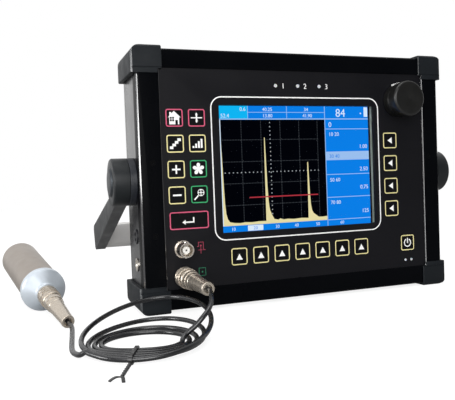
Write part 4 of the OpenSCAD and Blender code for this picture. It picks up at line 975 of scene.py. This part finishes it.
# CAD nodes whose shape stays, with their edges softened: name, node, edge, material, slot
rubber = (1.0, guardRubber, "guard_rubber")
guardNodes = [f"corner_guard_{row}_{side}" for row in ("top", "bottom") for side in ("left", "right")]
guards = {camelOf(node[len("corner_"):]): (node, *rubber) for node in guardNodes}
kept = {
    "rearShell": ("rear_case", 0.5, mouldedCase, "case_black"),
    "frontFrame": ("front_bezel", 0.2, glossFrame, "frame_gloss_black"),
    "frontPanel": ("keypad_panel", 0.08, panelFilm, "panel_print"),
    "batteryLid": ("battery_cover", 0.3, coverPlastic, "cover_plastic"),
    **guards,
    "frameScrews": ("frame_screws", 0.12, blackOxide, "screw_black"),
    "backScrews": ("back_screws", 0.2, steelZinc, "screw_steel"),
    "unitJacks": ("panel_jacks", 0.15, jackNickel, "jack_nickel"),
    "probeJack": ("probe_jack", 0.15, jackNickel, "jack_nickel"),
    "dataSocket": ("data_port", 0.15, portBlack, "port_black"),
    "chargeSocket": ("charge_port", 0.15, jackNickel, "port_nickel"),
    "hubPlates": ("hub_plates", 0.4, hubPlastic, "hub_plastic"),
    "handleArms": ("handle_arms", 0.6, armPlastic, "handle_plastic"),
    "handleGrip": ("handle_grip", 0.5, anodisedGrip, "grip_aluminium"),
    "hubCaps": ("hub_caps", 0.3, capMetal, "cap_metal"),
}
for name, (node, edge, material, slotName) in kept.items():
    addPiece(name, [(softened(node, edge), material)], bodyOf[node], [node], sharp=20)
print("edges softened")

# Faces that lean to the front and to a side get a lighter, glossier finish of their own: a painted highlight
# along the corners. Tiny facets of the frame stay as they are
paintedHighlightFaces = {name: (paintedHighlightGuardEdge, 0) for name in guards}
paintedHighlightFaces["frontFrame"] = (paintedHighlightBevel, 2e-6)
paintedHighlightFaces["guardTopRight"] = (paintedHighlightBevel, 0)
leanShare = 0.3
for name, (material, least) in paintedHighlightFaces.items():
    mesh = bpy.data.objects[name].data
    for polygon in mesh.polygons:
        leans = abs(polygon.normal.x) > leanShare and polygon.normal.y < -leanShare
        if leans and polygon.area > least:
            polygon.material_index = 1
    mesh.materials.append(material)

# Ribs for the fingers on the battery lid
ribs = {"count": 9, "pitch": 3.2, "size": (1.4, 0.9, 24), "places": (-60, 34.4), "z": 87.5, "y": 22.1}
ribParts = []
for x in ribs["places"]:
    mesh = grown(rowTree, {
        "Count": ribs["count"], "Pitch": ribs["pitch"] * toMetres,
        "Rib": [s * toMetres for s in ribs["size"]],
    }, coverPlastic)
    ribParts.append((moved(mesh, (x, ribs["y"], ribs["z"])), coverPlastic))
addPiece("lidRibs", ribParts, "unit")

# CAD nodes that only take a material
painted = {
    "case_seal": sealRubber,
    "display_window": paneClear,
    "lcd_module": displayFrame,
    "keypad_board": solderMask,
    "main_board": solderMask,
    "battery_pack": batteryWrap,
    "indicator_leds": ledEpoxy,
    "rotary_encoder": steelZinc,
    "jack_insulators": insulatorWhite,
    "pivot_bolts": steelZinc,
}
for name, material in painted.items():
    nodes[name].data.materials.clear()
    nodes[name].data.materials.append(material)
print("nodes painted")

# Floor, background and lights
studio = {
    "floor": 4000, "floorColour": "#8c8c8c", "world": 1.0, "front": 0.14, "dimFrom": 0.3, "dimTo": -0.5,
    "floorSeen": 0.84, "floorMirrored": 0.15,
}


def cameraOr(tree, ray):  # 1 for camera rays and for rays of the kind named, otherwise 0
    path = addNode(tree, "ShaderNodeLightPath")
    either = {0: path.outputs["Is Camera Ray"], 1: path.outputs[ray]}
    return addNode(tree, "ShaderNodeMath", either, operation="MAXIMUM").outputs[0], path


half = studio["floor"] / 2 * toMetres
floorMesh = bpy.data.meshes.new("floor")
corners = [(x, y, 0) for x, y in box(-half, -half, half, half)]
floorMesh.from_pydata(corners, [], [(0, 1, 2, 3)])
floor = newObject("floor", floorMesh)
floorMaterial = bpy.data.materials.new("paperFloor")
floorMaterial.use_nodes = True
floorTree = floorMaterial.node_tree
floorTree.nodes.clear()
seen, path = cameraOr(floorTree, "Is Transmission Ray")
glow = addNode(floorTree, "ShaderNodeMath", {0: seen, 1: studio["floorSeen"]}, operation="MULTIPLY")
mirrored = {0: path.outputs["Is Glossy Ray"], 1: studio["floorMirrored"], 2: glow.outputs[0]}
glow = addNode(floorTree, "ShaderNodeMath", mirrored, operation="MULTIPLY_ADD")
paper = addNode(floorTree, "ShaderNodeBsdfDiffuse", {"Color": linear(studio["floorColour"])})
shine = addNode(floorTree, "ShaderNodeEmission", {"Strength": glow.outputs[0]})
both = addNode(floorTree, "ShaderNodeAddShader", {0: paper.outputs[0], 1: shine.outputs[0]})
addNode(floorTree, "ShaderNodeOutputMaterial", {"Surface": both.outputs[0]})
floorMesh.materials.append(floorMaterial)

world = bpy.data.worlds.new("studio")
scene.world = world
world.use_nodes = True
worldTree = world.node_tree
worldTree.nodes.clear()
# The room is bright behind the object and dim in front of it, as its dark front shows
direction = addNode(worldTree, "ShaderNodeTexCoord").outputs["Generated"]
depth = addNode(worldTree, "ShaderNodeSeparateXYZ", {0: direction}).outputs["Y"]
room = addNode(worldTree, "ShaderNodeMapRange", {
    "Value": depth, "From Min": studio["dimTo"], "From Max": studio["dimFrom"],
    "To Min": studio["front"], "To Max": studio["world"],
}).outputs[0]
seen = cameraOr(worldTree, "Is Transmission Ray")[0]
strength = addNode(worldTree, "ShaderNodeMath", {0: seen, 1: room}, operation="MAXIMUM")
sky = addNode(worldTree, "ShaderNodeBackground", {"Color": (1, 1, 1, 1), "Strength": strength.outputs[0]})
addNode(worldTree, "ShaderNodeOutputWorld", {"Surface": sky.outputs[0]})

lamps = {
    "leftPanel": {"place": (-1500, -340, 130), "aim": (0, 0, 90), "size": (520, 1000), "power": 20},
    "topPanel": {"place": (-150, -200, 1500), "aim": (0, 0, 60), "size": (1200, 900), "power": 8},
    "frontSoftbox": {"place": (-430, -1150, 420), "aim": (-60, 0, 80), "size": (900, 900), "power": 13},
}
for name, lamp in lamps.items():
    data = bpy.data.lights.new(name, "AREA")
    data.shape = "RECTANGLE"
    data.size, data.size_y = [s * toMetres for s in lamp["size"]]
    data.energy = lamp["power"]
    place = Vector(lamp["place"]) * toMetres
    aim = Vector(lamp["aim"]) * toMetres
    turnTo = (aim - place).to_track_quat("-Z", "Y").to_matrix().to_4x4()
    newObject(name, data).matrix_world = Matrix.Translation(place) @ turnTo
scene.view_settings.view_transform = "Standard"
print("studio lit")
